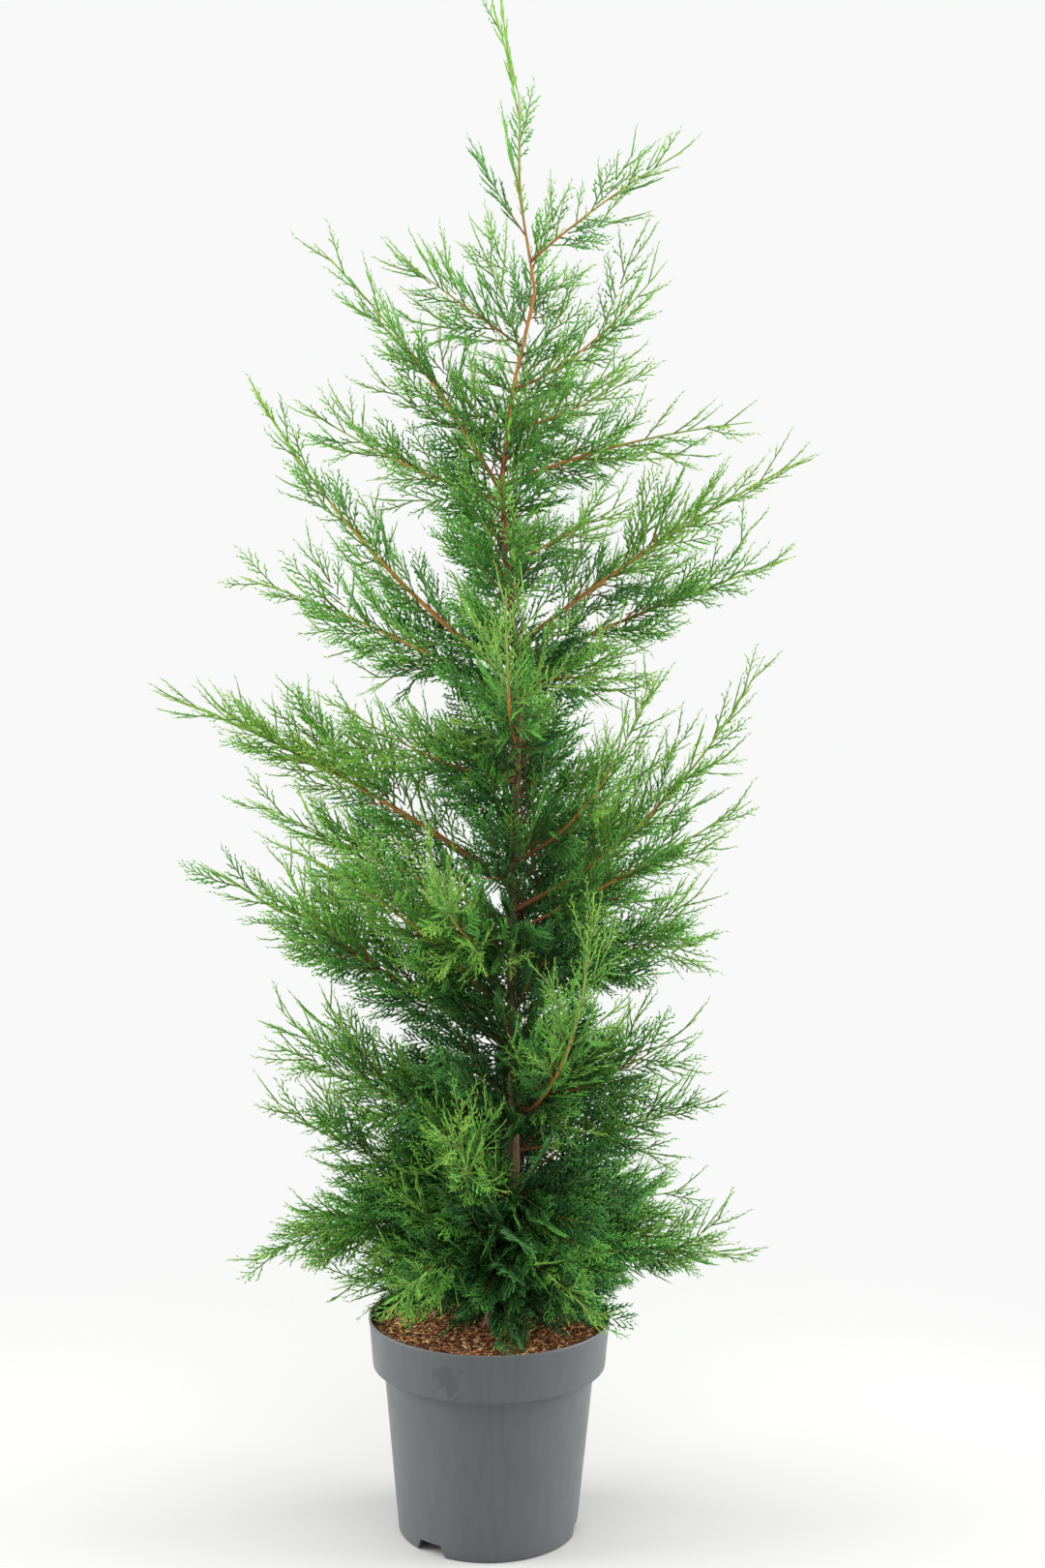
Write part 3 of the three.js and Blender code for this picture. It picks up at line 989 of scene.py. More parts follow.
@dataclass
class LimbReader:
    """Reads the limbs from the frame: the boughs that show, and those inside a mass of foliage. A limb
    that stands up steeply is slimmer than one that reaches out, and the higher it starts the younger
    it is. Sizes in metres."""

    nodes: dict[str, bpy.types.Object]
    slots: dict[str, str]
    trunk: StemLine
    stoutness: float = 0.0074
    tip_radius: float = 0.6 * MM
    taper: float = 0.9
    ring_gap: float = 5 * MM
    lift_bias: float = 0.03
    most_bow: float = 0.16
    steepness: Pair = (0.6, 1.3)
    slimming: Pair = (1.0, 0.85)
    bare_if_hidden: float = 0.04
    bare_if_shown: Pair = (0.05, 0.3)
    heights: tuple[float, ...] = (0.3, 0.6, 0.9, 1.5)
    young_at: tuple[float, ...] = (0.0, 0.04, 0.22, 0.48)
    youth_of_foot: Pair = (0.05, 0.55)
    youth_of_tip: Pair = (0.7, 1.0)

    def limbs(self) -> list[Limb]:
        """All the limbs, from the pot up."""
        names = sorted(n for n in self.nodes if n.startswith("foliage_") and n != "foliage_leader")
        return [self.limb(name) for name in names]

    def leader(self) -> Limb:
        """The leading shoot: the trunk's top, with the sparse mass of foliage round it."""
        name = "foliage_leader"
        line = self.trunk.spaced(10 * MM)
        top = line.points[:, 2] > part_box(name)[0].z
        line = StemLine(line.points[top], line.radii[top])
        return Limb(name, line, self.outline(name), 0.02, Slot.named(self.slots[name]), (0.44, 0.7))

    def outline(self, name: str) -> BVHTree:
        """The surface of a mass of foliage, to measure to."""
        mesh = self.nodes[name].data
        return BVHTree.FromPolygons([v.co for v in mesh.vertices], [tuple(p.vertices) for p in mesh.polygons])

    def aside(self, mass: np.ndarray) -> np.ndarray:
        """How far from the trunk's line each corner of a mass stands."""
        return np.hypot(*(mass - self.trunk.at_height(mass[:, 2]))[:, :2].T)

    def limb(self, name: str) -> Limb:
        """Reads one limb from its mass of foliage and, where it shows, from its bough."""
        mass = np.unique(corners(self.nodes[name].data).round(6), axis=0)
        bough = self.nodes.get(name.replace("foliage", "bough"))
        points = self.hidden(mass) if bough is None else self.shown(mass, corners(bough.data))
        run = run_along(points)
        total = run[-1]
        foot = self.stoutness * total
        radii = self.tip_radius + (foot - self.tip_radius) * (1 - run / total) ** self.taper
        bare = self.bare_if_hidden
        if bough is not None:
            bare = float(np.clip(self.aside(mass).min() / total, *self.bare_if_shown))
        slot = Slot.named(self.slots[name])
        # Low limbs, and the foot of each limb deep in the crown, get darker leaves than high limbs and tips:
        # partly their age and partly painted shade.
        young = float(np.interp(points[0][2], self.heights, self.young_at))
        youth_of_foot = max(0.0, between(self.youth_of_foot, young) + slot.vigour)
        youth_of_tip = min(1.0, between(self.youth_of_tip, young) + slot.vigour)
        reach = points[-1] - points[0]
        steep = reach[2] / np.hypot(*reach[:2])
        breadth = slot.breadth * float(np.interp(steep, self.steepness, self.slimming))
        breadth *= FULLNESS.get(int(name[-2:]), 1.0)
        line = StemLine(points, radii)
        return Limb(name, line, self.outline(name), bare, slot, (youth_of_foot, youth_of_tip), breadth)

    def shown(self, mass: np.ndarray, bough: np.ndarray) -> np.ndarray:
        """The line of a limb whose bough shows: through its rings, and on to the tip of its mass.

        Args:
            mass: The corners of its mass of foliage.
            bough: The corners of its bough.

        Returns:
            The line's points, from inside the trunk.
        """
        axis = np.linalg.svd(bough - bough.mean(axis=0), full_matrices=False)[2][0]
        if axis @ (mass.mean(axis=0) - bough.mean(axis=0)) < 0:
            axis = -axis
        run = bough @ axis
        order = np.argsort(run)
        breaks = np.flatnonzero(np.diff(run[order]) > self.ring_gap) + 1
        centres = np.array([ring_centre(bough[group]) for group in np.split(order, breaks)])[-4:]
        along = unit(centres[1] - centres[0])
        level = np.hypot(*along[:2])
        outward = along[:2] / max(1e-6, level)
        gap = (centres[0] - self.trunk.at_height(centres[0][2]))[:2] @ outward
        start = centres[0] - along * gap / max(0.3, level)
        tip = mass[np.argmax(np.linalg.norm(mass - start, axis=1))]
        ahead = unit(centres[-1] - centres[-2])
        reach = np.linalg.norm(tip - centres[-1])
        rest = curve(centres[-1], centres[-1] + ahead * reach / 2, tip)
        return np.concatenate([[start], centres, rest[1:]])

    def hidden(self, mass: np.ndarray) -> np.ndarray:
        """The line of a limb inside its mass: from the trunk through the mass's middle to its tip.

        Args:
            mass: The corners of its mass of foliage.

        Returns:
            The line's points, from inside the trunk.
        """
        aside = self.aside(mass)
        start = self.trunk.at_height(mass[aside < aside.min() + 12 * MM][:, 2].mean())
        distance = np.linalg.norm(mass - start, axis=1)
        longest = distance.max()
        tip = mass[np.argmax(distance)]
        share = distance / longest
        middle = mass[(share > 0.35) & (share < 0.7)].mean(axis=0)
        straight = (start + tip) / 2
        bow = middle - straight - UP * self.lift_bias * longest
        bow *= min(1.0, self.most_bow * longest / max(np.linalg.norm(bow), 1e-6))
        return curve(start, straight + 2 * bow, tip)


# ---------------------------------------------------------------- trunk and boughs


@dataclass
class Wood:
    """The bark of the trunk and of the limbs, as meshes with the bark's relief. The trunk's share of its
    node's radius falls from its foot to its tip. Sizes in metres."""

    trunk_sides: int = 28
    trunk_step: float = 9 * MM
    trunk_foot: float = 9 * MM
    trunk_share: Pair = (0.9, 0.62)
    trunk_relief: float = 0.75 * MM
    trunk_stretch: float = 0.22
    limb_sides: int = 10
    limb_step: float = 11 * MM
    limb_relief: float = 0.3 * MM
    limb_stretch: float = 0.7
    flake: float = 5 * MM
    swelling: float = 0.06
    collar: float = 0.55
    collar_reach: float = 11 * MM
    full_relief: float = 6 * MM

    def nearest(self, piece: bpy.types.Object, stations: np.ndarray) -> np.ndarray:
        """The station nearest to each corner of a stem."""
        return np.linalg.norm(corners(piece.data)[:, None] - stations[None], axis=2).argmin(axis=1)

    def relief(self, piece: bpy.types.Object, line: StemLine, depth: float, stretch: float) -> None:
        """Raises flakes and furrows on a stem by moving its corners along their normals.

        Args:
            piece: The stem.
            line: Its line. The thinner it is, the flatter its relief.
            depth: The relief's depth where the stem is thick.
            stretch: Below 1, how much longer the flakes are than wide.
        """
        mesh = piece.data
        depths = depth * np.minimum(1.0, line.radii[self.nearest(piece, line.points)] / self.full_relief)
        for vertex, deep in zip(mesh.vertices, depths):
            x, y, z = vertex.co
            place = Vector((x, y, z * stretch)) / self.flake
            broad = noise.noise(Vector((x, y, z * 0.5)) / (4 * self.flake))
            height = noise.noise(place) + 0.5 * noise.noise(place * 2.3) + 0.8 * broad
            vertex.co += vertex.normal * float(deep * height)
        mesh.update()

    def mark(self, piece: bpy.types.Object, stations: np.ndarray, ripeness: np.ndarray) -> None:
        """Writes the ripeness of the nearest station on each corner of a stem."""
        attribute = piece.data.attributes.new("ripeness", "FLOAT", "POINT")
        attribute.data.foreach_set("value", ripeness[self.nearest(piece, stations)].astype(np.float32))

    def build_trunk(self, trunk: StemLine, limbs: Sequence[Limb]) -> None:
        """Models the trunk, with a swelling under each limb, and dresses it.

        Args:
            trunk: The trunk's line.
            limbs: The limbs.
        """
        foot = 2 * trunk.points[0] - trunk.at_height(trunk.points[0][2] + self.trunk_foot)
        line = StemLine(np.vstack([foot, trunk.points]), np.append(trunk.radii[0], trunk.radii))
        line = line.spaced(self.trunk_step)
        heights = line.points[:, 2]
        share = (heights - heights[0]) / (heights[-1] - heights[0])
        radii = between(self.trunk_share, share) * line.radii
        for limb in limbs:
            off = (heights - limb.line.points[0][2]) / self.collar_reach
            radii += self.swelling * limb.line.radii[0] * np.exp(-(off**2))
        piece = draw_rings("trunk_bark", line.points, radii, self.trunk_sides)
        self.relief(piece, line, self.trunk_relief, self.trunk_stretch)
        self.mark(piece, line.points, 1 - share)
        hand_over(piece, ["trunk"], [TRUNK_BARK.material()])

    def build_limbs(self, limbs: Sequence[Limb], nodes: Sequence[str]) -> None:
        """Models each limb from the trunk to its tip, and joins and dresses them.

        Args:
            limbs: The limbs.
            nodes: The frame's boughs.
        """
        stems = []
        for limb in limbs:
            line = limb.line.spaced(self.limb_step)
            run = np.linspace(0.0, limb.line.length(), len(line.points))
            radii = line.radii * (1 + self.collar * np.exp(-run / self.collar_reach))
            stem = draw_rings(limb.name, line.points, radii, self.limb_sides, line.tangents()[1])
            self.relief(stem, line, self.limb_relief, self.limb_stretch)
            self.mark(stem, line.points, 1 - run / run[-1])
            stems.append(stem)
        hand_over(join(stems, "bough_bark"), nodes, [BOUGH_BARK.material()])


# ---------------------------------------------------------------- sprays


@dataclass
class Shoots:
    """Many shoots at once. Each is an arc from its base: it heads one way, its tip is bent aside, and
    its own side shoots lie in the plane that its face looks out of. Youth runs from 0 to 1."""

    base: np.ndarray
    heading: np.ndarray
    face: np.ndarray
    bend: np.ndarray
    length: np.ndarray
    youth: np.ndarray

    def take(self, index: np.ndarray) -> "Shoots":
        """The shoots at an index or under a mask."""
        return Shoots(*(getattr(self, part.name)[index] for part in fields(self)))

    def at(self, share: np.ndarray) -> np.ndarray:
        """The point of each shoot at a share of its length."""
        return self.base + self.heading * column(self.length * share) + self.bend * column(share**2)

    def along(self, share: np.ndarray) -> np.ndarray:
        """The direction of each shoot at a share of its length."""
        return unit(self.heading * column(self.length) + 2 * self.bend * column(share))

    def kept_inside(self, room: tuple[np.ndarray, np.ndarray], tries: int = 6, cut: float = 0.72) -> "Shoots":
        """The same shoots, but those whose tips leave a box are cut shorter.

        Args:
            room: The box's low and high corners.
            tries: How often a shoot is cut. One that is still too long then is left out.
            cut: What is left of it each time.

        Returns:
            The shoots.
        """
        low, high = room
        length, bend = self.length.copy(), self.bend.copy()
        for _ in range(tries):
            tip = self.base + self.heading * column(length) + bend
            out = ((tip < low) | (tip > high)).any(axis=1)
            length[out] *= cut
            bend[out] *= cut
        return replace(self, length=length, bend=bend).take(~out)

    @staticmethod
    def gather(groups: Sequence["Shoots"]) -> "Shoots":
        """Several groups of shoots as one."""
        return Shoots(*(np.concatenate([getattr(g, part.name) for g in groups]) for part in fields(Shoots)))


@dataclass(frozen=True)
class BranchingRule:
    """How one order of shoots stands on the order before it. A pair holds the value on the oldest
    parents and on the youngest, unless it is a range. Lengths in metres, angles in radians.

    spacing: Between neighbours along the parent.
    angle: Between a shoot and its parent.
    reach: The longest shoot, as a share of its parent.
    first: The bare share at the parent's foot.
    fullest: Where along the parent the longest shoots stand.
    least: The shortest shoot.
    most: The longest shoot.
    bearing: A parent shorter than this bears none.
    crowding: Below 1, how much closer shoots stand towards the parent's tip.
    kept: The share of shoots that grew.
    unruly: The spread of the angle, as a share of it.
    tilt: How far shoots lean out of their parent's plane.
    forward: How far a shoot bends towards its parent's direction.
    stray: How far its tip strays from there, as a share of its length.
    waning: How fast shoots get shorter to both sides of the longest.
    growth: The range of a shoot's length, as a share of what its place gives it.
    scatter: The range of the shortest length, as a share of least.
    ageing: How much younger the shoots are at the parent's tip than at its foot.
    mottle: The spread in youth between neighbours.
    """

    spacing: Pair
    angle: Pair
    reach: Pair
    first: float
    fullest: float
    least: float
    most: Pair
    bearing: float = 0.0
    crowding: float = 1.0
    kept: float = 0.95
    unruly: float = 0.1
    tilt: float = 0.08
    forward: float = 0.24
    stray: float = 0.02
    waning: float = 0.9
    growth: Pair = (0.7, 1.15)
    scatter: Pair = (0.7, 1.3)
    ageing: float = 0.25
    mottle: float = 0.05

    def grow(self, parents: Shoots, rng: np.random.Generator) -> Shoots:
        """Grows the next order of shoots, to the two sides of each parent in turn.

        Args:
            parents: The shoots that bear them.
            rng: The source of chance.

        Returns:
            The new shoots.
        """
        count = ((1 - self.first) * parents.length / between(self.spacing, parents.youth)).astype(int)
        count[parents.length < self.bearing] = 0
        owner = np.repeat(np.arange(len(count)), count)
        total = len(owner)
        rank = np.arange(total) - np.repeat(np.cumsum(count) - count, count)
        step = (rank + rng.uniform(0.2, 0.8, total)) / count[owner]
        share = self.first + (1 - self.first) * step**self.crowding
        family = parents.take(owner)
        side = np.where(rank % 2 == 0, 1.0, -1.0)
        along = family.along(share)
        across = np.cross(family.face, along) * column(side)
        angle = between(self.angle, family.youth) * rng.normal(1.0, self.unruly, total)
        lean = family.face * column(rng.normal(0.0, self.tilt, total))
        heading = unit(along * column(np.cos(angle)) + across * column(np.sin(angle)) + lean)
        rising = self.waning * self.fullest / (1 - self.fullest)
        swell = (share / self.fullest) ** rising * ((1 - share) / (1 - self.fullest)) ** self.waning
        length = family.length * between(self.reach, family.youth) * swell * rng.uniform(*self.growth, total)
        least = self.least * rng.uniform(*self.scatter, total)
        length = np.clip(length, least, between(self.most, family.youth))
        stray = rng.normal(0, self.stray, (total, 3))
        bend = ((along - heading) * self.forward + stray) * column(length)
        youth = family.youth + self.ageing * (share - 0.5) + rng.normal(0.0, self.mottle, total)
        shoots = Shoots(family.at(share), heading, family.face, bend, length, np.clip(youth, 0.0, 1.0))
        return shoots.take(rng.random(total) < self.kept)


SHOOTS_ON_BRANCHLET = BranchingRule(
    spacing=(5.8 * MM, 6.4 * MM),
    angle=(math.radians(39), math.radians(33)),
    reach=(0.46, 0.22),
    first=0.07,
    fullest=0.32,
    least=8.5 * MM,
    most=(50 * MM, 26 * MM),
    crowding=0.8,
    tilt=0.1,
    ageing=0.3,
)
TWIGLETS_ON_SHOOT = BranchingRule(
    spacing=(4.1 * MM, 4.5 * MM),
    angle=(math.radians(35), math.radians(31)),
    reach=(0.27, 0.3),
    first=0.14,
    fullest=0.35,
    least=5.2 * MM,
    most=(11 * MM, 9 * MM),
    bearing=13 * MM,
    tilt=0.14,
    ageing=0.12,
    mottle=0.03,
)

# How thickly limbs are clothed for the height that they start at: the crown thins towards its top.
LUSH_HEIGHTS = (0.3, 0.65, 0.85, 1.2, 1.5)
LUSH_SHARES = (2.25, 1.95, 1.5, 1.3, 1.15)

# How far a spray is spun about its heading from lying flat. Most sprays stand up, and show their flat
# side to whoever walks round the plant.
SPIN = (0.3, 1.45)


def spun_faces(heading: np.ndarray, rng: np.random.Generator) -> np.ndarray:
    """For each heading, a face square to it: upwards, then spun about it to either side."""
    flat = upright(heading)
    turn = rng.uniform(*SPIN, len(heading)) * rng.choice((-1.0, 1.0), len(heading))
    return flat * column(np.cos(turn)) + np.cross(heading, flat) * column(np.sin(turn))


@dataclass(frozen=True)
class LimbHabit:
    """How side limbs and branchlets stand on a limb. A pair holds the value at the limb's foot and at
    its tip, unless it is a range. Lengths in metres, angles in radians.

    spacing: Between neighbours where the crown is at its thinnest.
    angle: Between a branchlet and the limb.
    least: The shortest branchlet.
    most: The longest branchlet.
    fill: The range of a branchlet's length, as a share of its way to the foliage's outline.
    turn: From one branchlet to the next, about the limb.
    unruly: The spread of that turn.
    lift: How far a branchlet bends up, as a share of its length.
    tip_room: How far a branchlet may pass the limb's tip.
    whip: Where the limb's own end starts to bear shoots, as a share of the limb.
    clothed: Where the last branchlet stands, as a share of the limb.
    scatter: How far a branchlet strays along the limb, as a share of the spacing at its foot.
    wild: The spread of the angle, as a share of it.
    least_range: The range of the shortest length, as a share of least.
    lift_range: The range of the lift, as a share of it.
    forward: How far a branchlet bends towards the limb's direction.
    farthest: How far out the foliage's outline is looked for.
    beyond: A branchlet's length where it starts outside that outline.
    mottle: The spread in youth between neighbours.
    """

    spacing: Pair = (10 * MM, 32 * MM)
    angle: Pair = (math.radians(50), math.radians(24))
    least: Pair = (80 * MM, 55 * MM)
    most: float = 145 * MM
    fill: Pair = (0.85, 1.3)
    turn: float = math.radians(137.5)
    unruly: float = 0.5
    lift: Pair = (0.05, 0.16)
    tip_room: float = 30 * MM
    whip: float = 0.76
    clothed: float = 0.97
    scatter: float = 0.3
    wild: float = 0.14
    least_range: Pair = (0.8, 1.3)
    lift_range: Pair = (0.2, 1.6)
    forward: float = 0.12
    farthest: float = 0.4
    beyond: float = 60 * MM
    mottle: float = 0.12

    def branchlets(self, limb: Limb, rng: np.random.Generator) -> Shoots:
        """Grows the branchlets of one limb, each long enough to reach its foliage's outline.

        Args:
            limb: The limb.
            rng: The source of chance.

        Returns:
            The branchlets, with the limb's own end as the last.
        """
        line = limb.line.spaced(2 * MM)
        total = line.length()
        lush = float(np.interp(line.points[0][2], LUSH_HEIGHTS, LUSH_SHARES)) * limb.breadth
        shares, share = [], limb.bare
        while share < self.clothed:
            shares.append(share)
            share += float(between(self.spacing, share**2)) / total / (1 + (lush - 1) * (1 - share))
        count = len(shares)
        share = np.array(shares) + rng.uniform(-self.scatter, self.scatter, count) * self.spacing[0] / total
        share = np.clip(share, 0.0, 1.0)
        index = (share * (len(line.points) - 1)).astype(int)
        base, along = line.points[index], line.tangents()[index]
        roll = rng.uniform(0, self.turn) + np.arange(count) * self.turn + rng.normal(0, self.unruly, count)
        side = unit(np.cross(along, UP))
        outward = side * column(np.cos(roll)) + np.cross(side, along) * column(np.sin(roll))
        angle = between(self.angle, share) * rng.normal(1.0, self.wild, count)
        heading = unit(along * column(np.cos(angle)) + outward * column(np.sin(angle)))
        length = np.array([self.room(limb, b, h) for b, h in zip(base, heading)])
        length *= rng.uniform(*self.fill, count)
        least = between(self.least, share) * rng.uniform(*self.least_range, count)
        length = np.clip(length, least, self.most) * limb.breadth
        length = np.minimum(length, 0.9 * (1 - share) * total + self.tip_room)
        bend = UP * column(between(self.lift, share) * length * rng.uniform(*self.lift_range, count))
        bend += (along - heading) * column(self.forward * length)
        youth = np.clip(between(limb.youth, share) + rng.normal(0, self.mottle, count), 0, 1)
        grown = Shoots(base, heading, spun_faces(heading, rng), bend, length, youth)
        return Shoots.gather([grown, self.end(line, limb.youth[1])])

    def room(self, limb: Limb, base: np.ndarray, heading: np.ndarray) -> float:
        """How far it is from a point of the limb to its foliage's outline, or a short way outside it."""
        place, _, _, distance = limb.outline.ray_cast(Vector(base), Vector(heading), self.farthest)
        return self.beyond if place is None else distance

    def end(self, line: StemLine, youth: float) -> Shoots:
        """The limb's own end, which bears shoots as a branchlet does.

        Args:
            line: The limb's line, with its points at an even spacing.
            youth: The youth of its tip.

        Returns:
            The end, as one shoot.
        """
        start = int(self.whip * (len(line.points) - 1))
        base, tip = line.points[start], line.points[-1]
        heading = line.tangents()[start]
        length = np.linalg.norm(tip - base)
        bend = tip - base - heading * length
        one = (base, heading, upright(heading), bend, length, youth)
        return Shoots(*(np.array([value]) for value in one))


@dataclass(frozen=True)
class SideLimbHabit(LimbHabit):
    """How side limbs stand on a limb: few, long and swept, from its foot to past its middle.

    last: Where the last side limb stands, as a share of the limb.
    quickening: How much younger a side limb's tip is than its foot.
    most_youth: The youth of its tip at most.
    stoutness: The radius of its foot, as a share of its length.
    tip_radius: The radius of its tip.
    bare: The bare share at its foot.
    stations: The points of its line.
    """

    spacing: Pair = (42 * MM, 75 * MM)
    angle: Pair = (math.radians(42), math.radians(28))
    least: Pair = (120 * MM, 60 * MM)
    most: float = 190 * MM
    fill: Pair = (0.9, 1.3)
    lift: Pair = (0.08, 0.18)
    last: float = 0.68
    quickening: float = 0.5
    most_youth: float = 0.9
    stoutness: float = 0.011
    tip_radius: float = 0.6 * MM
    bare: float = 0.1
    stations: int = 12

    def side_limbs(self, limb: Limb, rng: np.random.Generator) -> list[Limb]:
        """Grows the side limbs of one limb, each with a line and an outline as a limb has.

        Args:
            limb: The limb.
            rng: The source of chance.

        Returns:
            The side limbs.
        """
        grown = self.branchlets(limb, rng)
        total = limb.line.length()
        found = []
        for i in range(len(grown.length) - 1):
            share = np.linalg.norm(grown.base[i] - limb.line.points[0]) / total
            if share > self.last:
                continue
            points = grown.take(np.full(self.stations, i)).at(np.linspace(0.0, 1.0, self.stations))
            radii = np.linspace(self.stoutness * grown.length[i], self.tip_radius, self.stations)
            foot = float(between(limb.youth, share))
            youth = (foot, min(self.most_youth, foot + self.quickening))
            found.append(replace(limb, line=StemLine(points, radii), bare=self.bare, youth=youth))
        return found


@dataclass(frozen=True)
class StemHabit:
    """How branchlets stand on the trunk itself, between the limbs. Lengths in metres.

    count: How many there are.
    heights: The lowest and the highest.
    crowding: How much more of them stand low: 1 for an even spread.
    rise: How steeply they climb, or hang where it is below 0.
    length: How long the lowest and the highest are.
    youth: The youth of the lowest and of the highest.
    lift: How far a branchlet bends up, as a share of its length.
    growth: The range of a branchlet's length, as a share of what its height gives it.
    mottle: The spread in youth between neighbours.
    """

    count: int
    heights: Pair
    crowding: float
    rise: Pair
    length: Pair
    youth: Pair
    lift: float = 0.1
    growth: Pair = (0.65, 1.25)
    mottle: float = 0.1

    def branchlets(self, trunk: StemLine, rng: np.random.Generator) -> Shoots:
        """Grows the branchlets all round the trunk.

        Args:
            trunk: The trunk's line.
            rng: The source of chance.

        Returns:
            The branchlets.
        """
        share = rng.random(self.count) ** self.crowding
        bearing = rng.uniform(0, 2 * math.pi, self.count)
        rise = rng.uniform(*self.rise, self.count)
        heading = unit(np.stack([np.cos(bearing), np.sin(bearing), rise], axis=1))
        length = between(self.length, share) * rng.uniform(*self.growth, self.count)
        youth = np.clip(between(self.youth, share) + rng.normal(0, self.mottle, self.count), 0, 1)
        base = trunk.at_height(between(self.heights, share))
        return Shoots(base, heading, spun_faces(heading, rng), UP * column(self.lift * length), length, youth)


SIDE_LIMBS = SideLimbHabit()
BRANCHLETS_ON_LIMB = LimbHabit()
BRANCHLETS_ON_SIDE_LIMB = LimbHabit(
    spacing=(10.5 * MM, 30 * MM),
    angle=(math.radians(44), math.radians(25)),
    least=(52 * MM, 32 * MM),
    most=95 * MM,
    whip=0.5,
)
BRANCHLETS_ON_LEADER = LimbHabit(
    spacing=(31 * MM, 50 * MM),
    angle=(math.radians(33), math.radians(20)),
    least=(125 * MM, 60 * MM),
    lift=(0.1, 0.1),
    whip=0.7,
)
# Old sprays that hide the trunk between the limbs, and a skirt of them that hangs over the compost. Their
# low youth gives them the darkest leaves: partly the colour of old sprays and partly painted shade
# inside and under the crown.
SHADED_SPRAYS = StemHabit(380, (0.33, 1.5), 1.2, (0.0, 1.1), (175 * MM, 80 * MM), (0.02, 0.5))
SKIRT_SPRAYS = StemHabit(230, (0.315, 0.45), 1.0, (-0.5, 0.0), (150 * MM, 140 * MM), (0.02, 0.32))

ROD_SIDES = 3


def swept(shoots: Shoots, shares: Sequence[float], radii: np.ndarray) -> tuple[np.ndarray, np.ndarray]:
    """Closed tapering rods along shoots: flat at the foot and pointed at the tip.

    Args:
        shoots: The shoots.
        shares: Where along a shoot its rings lie.
        radii: The radius of each ring, for each shoot.

    Returns:
        The places, as shoots by corners by 3, and the triangles of one rod.
    """
    count, sides = len(shoots.length), ROD_SIDES
    turns = 2 * math.pi * np.arange(sides) / sides
    rows = []
    for ring, share in enumerate(shares):
        where = np.full(count, share)
        along = shoots.along(where)
        side = unit(np.cross(shoots.face, along))
        over = np.cross(along, side)
        offset = side[:, None] * column(np.cos(turns)) + over[:, None] * column(np.sin(turns))
        rows.append(shoots.at(where)[:, None] + offset * radii[:, ring][:, None, None])
    rows.append(shoots.at(np.ones(count))[:, None])
    faces = [(0, i + 1, i) for i in range(1, sides - 1)]
    last, end = (len(shares) - 1) * sides, len(shares) * sides
    for i in range(sides):
        j = (i + 1) % sides
        for low in range(0, last, sides):
            faces += [(low + i, low + j, low + sides + j), (low + i, low + sides + j, low + sides + i)]
        faces.append((last + i, last + j, end))
    return np.concatenate(rows, axis=1), np.array(faces)


def keeled(
    shoots: Shoots, half_width: np.ndarray, keel: float, widest: float = 0.3
) -> tuple[np.ndarray, np.ndarray]:
    """Small closed shoots of four faces: a slim kite with a keel on its back.

    Args:
        shoots: The shoots.
        half_width: Half of each one's width.
        keel: The kite's depth, as a share of half its width.
        widest: Where along it the kite is widest.

    Returns:
        The places, as shoots by corners by 3, and the triangles of one shoot.
    """
    count = len(shoots.length)
    where = np.full(count, widest)
    side = unit(np.cross(shoots.face, shoots.along(where))) * column(half_width)
    raised = shoots.at(where) + shoots.face * column(half_width * keel)
    rows = [shoots.at(np.zeros(count)), raised + side, raised - side, shoots.at(np.ones(count))]
    return np.stack(rows, axis=1), np.array([(0, 1, 2), (3, 2, 1), (0, 3, 1), (0, 2, 3)])


def crown_room(margin: float) -> tuple[np.ndarray, np.ndarray]:
    """The frame's box with a margin round it, and its floor raised over the compost."""
    low, high = (np.array(corner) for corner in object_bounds())
    low, high = low - margin, high + margin
    low[2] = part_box("compost")[1].z + 5 * MM
    return low, high


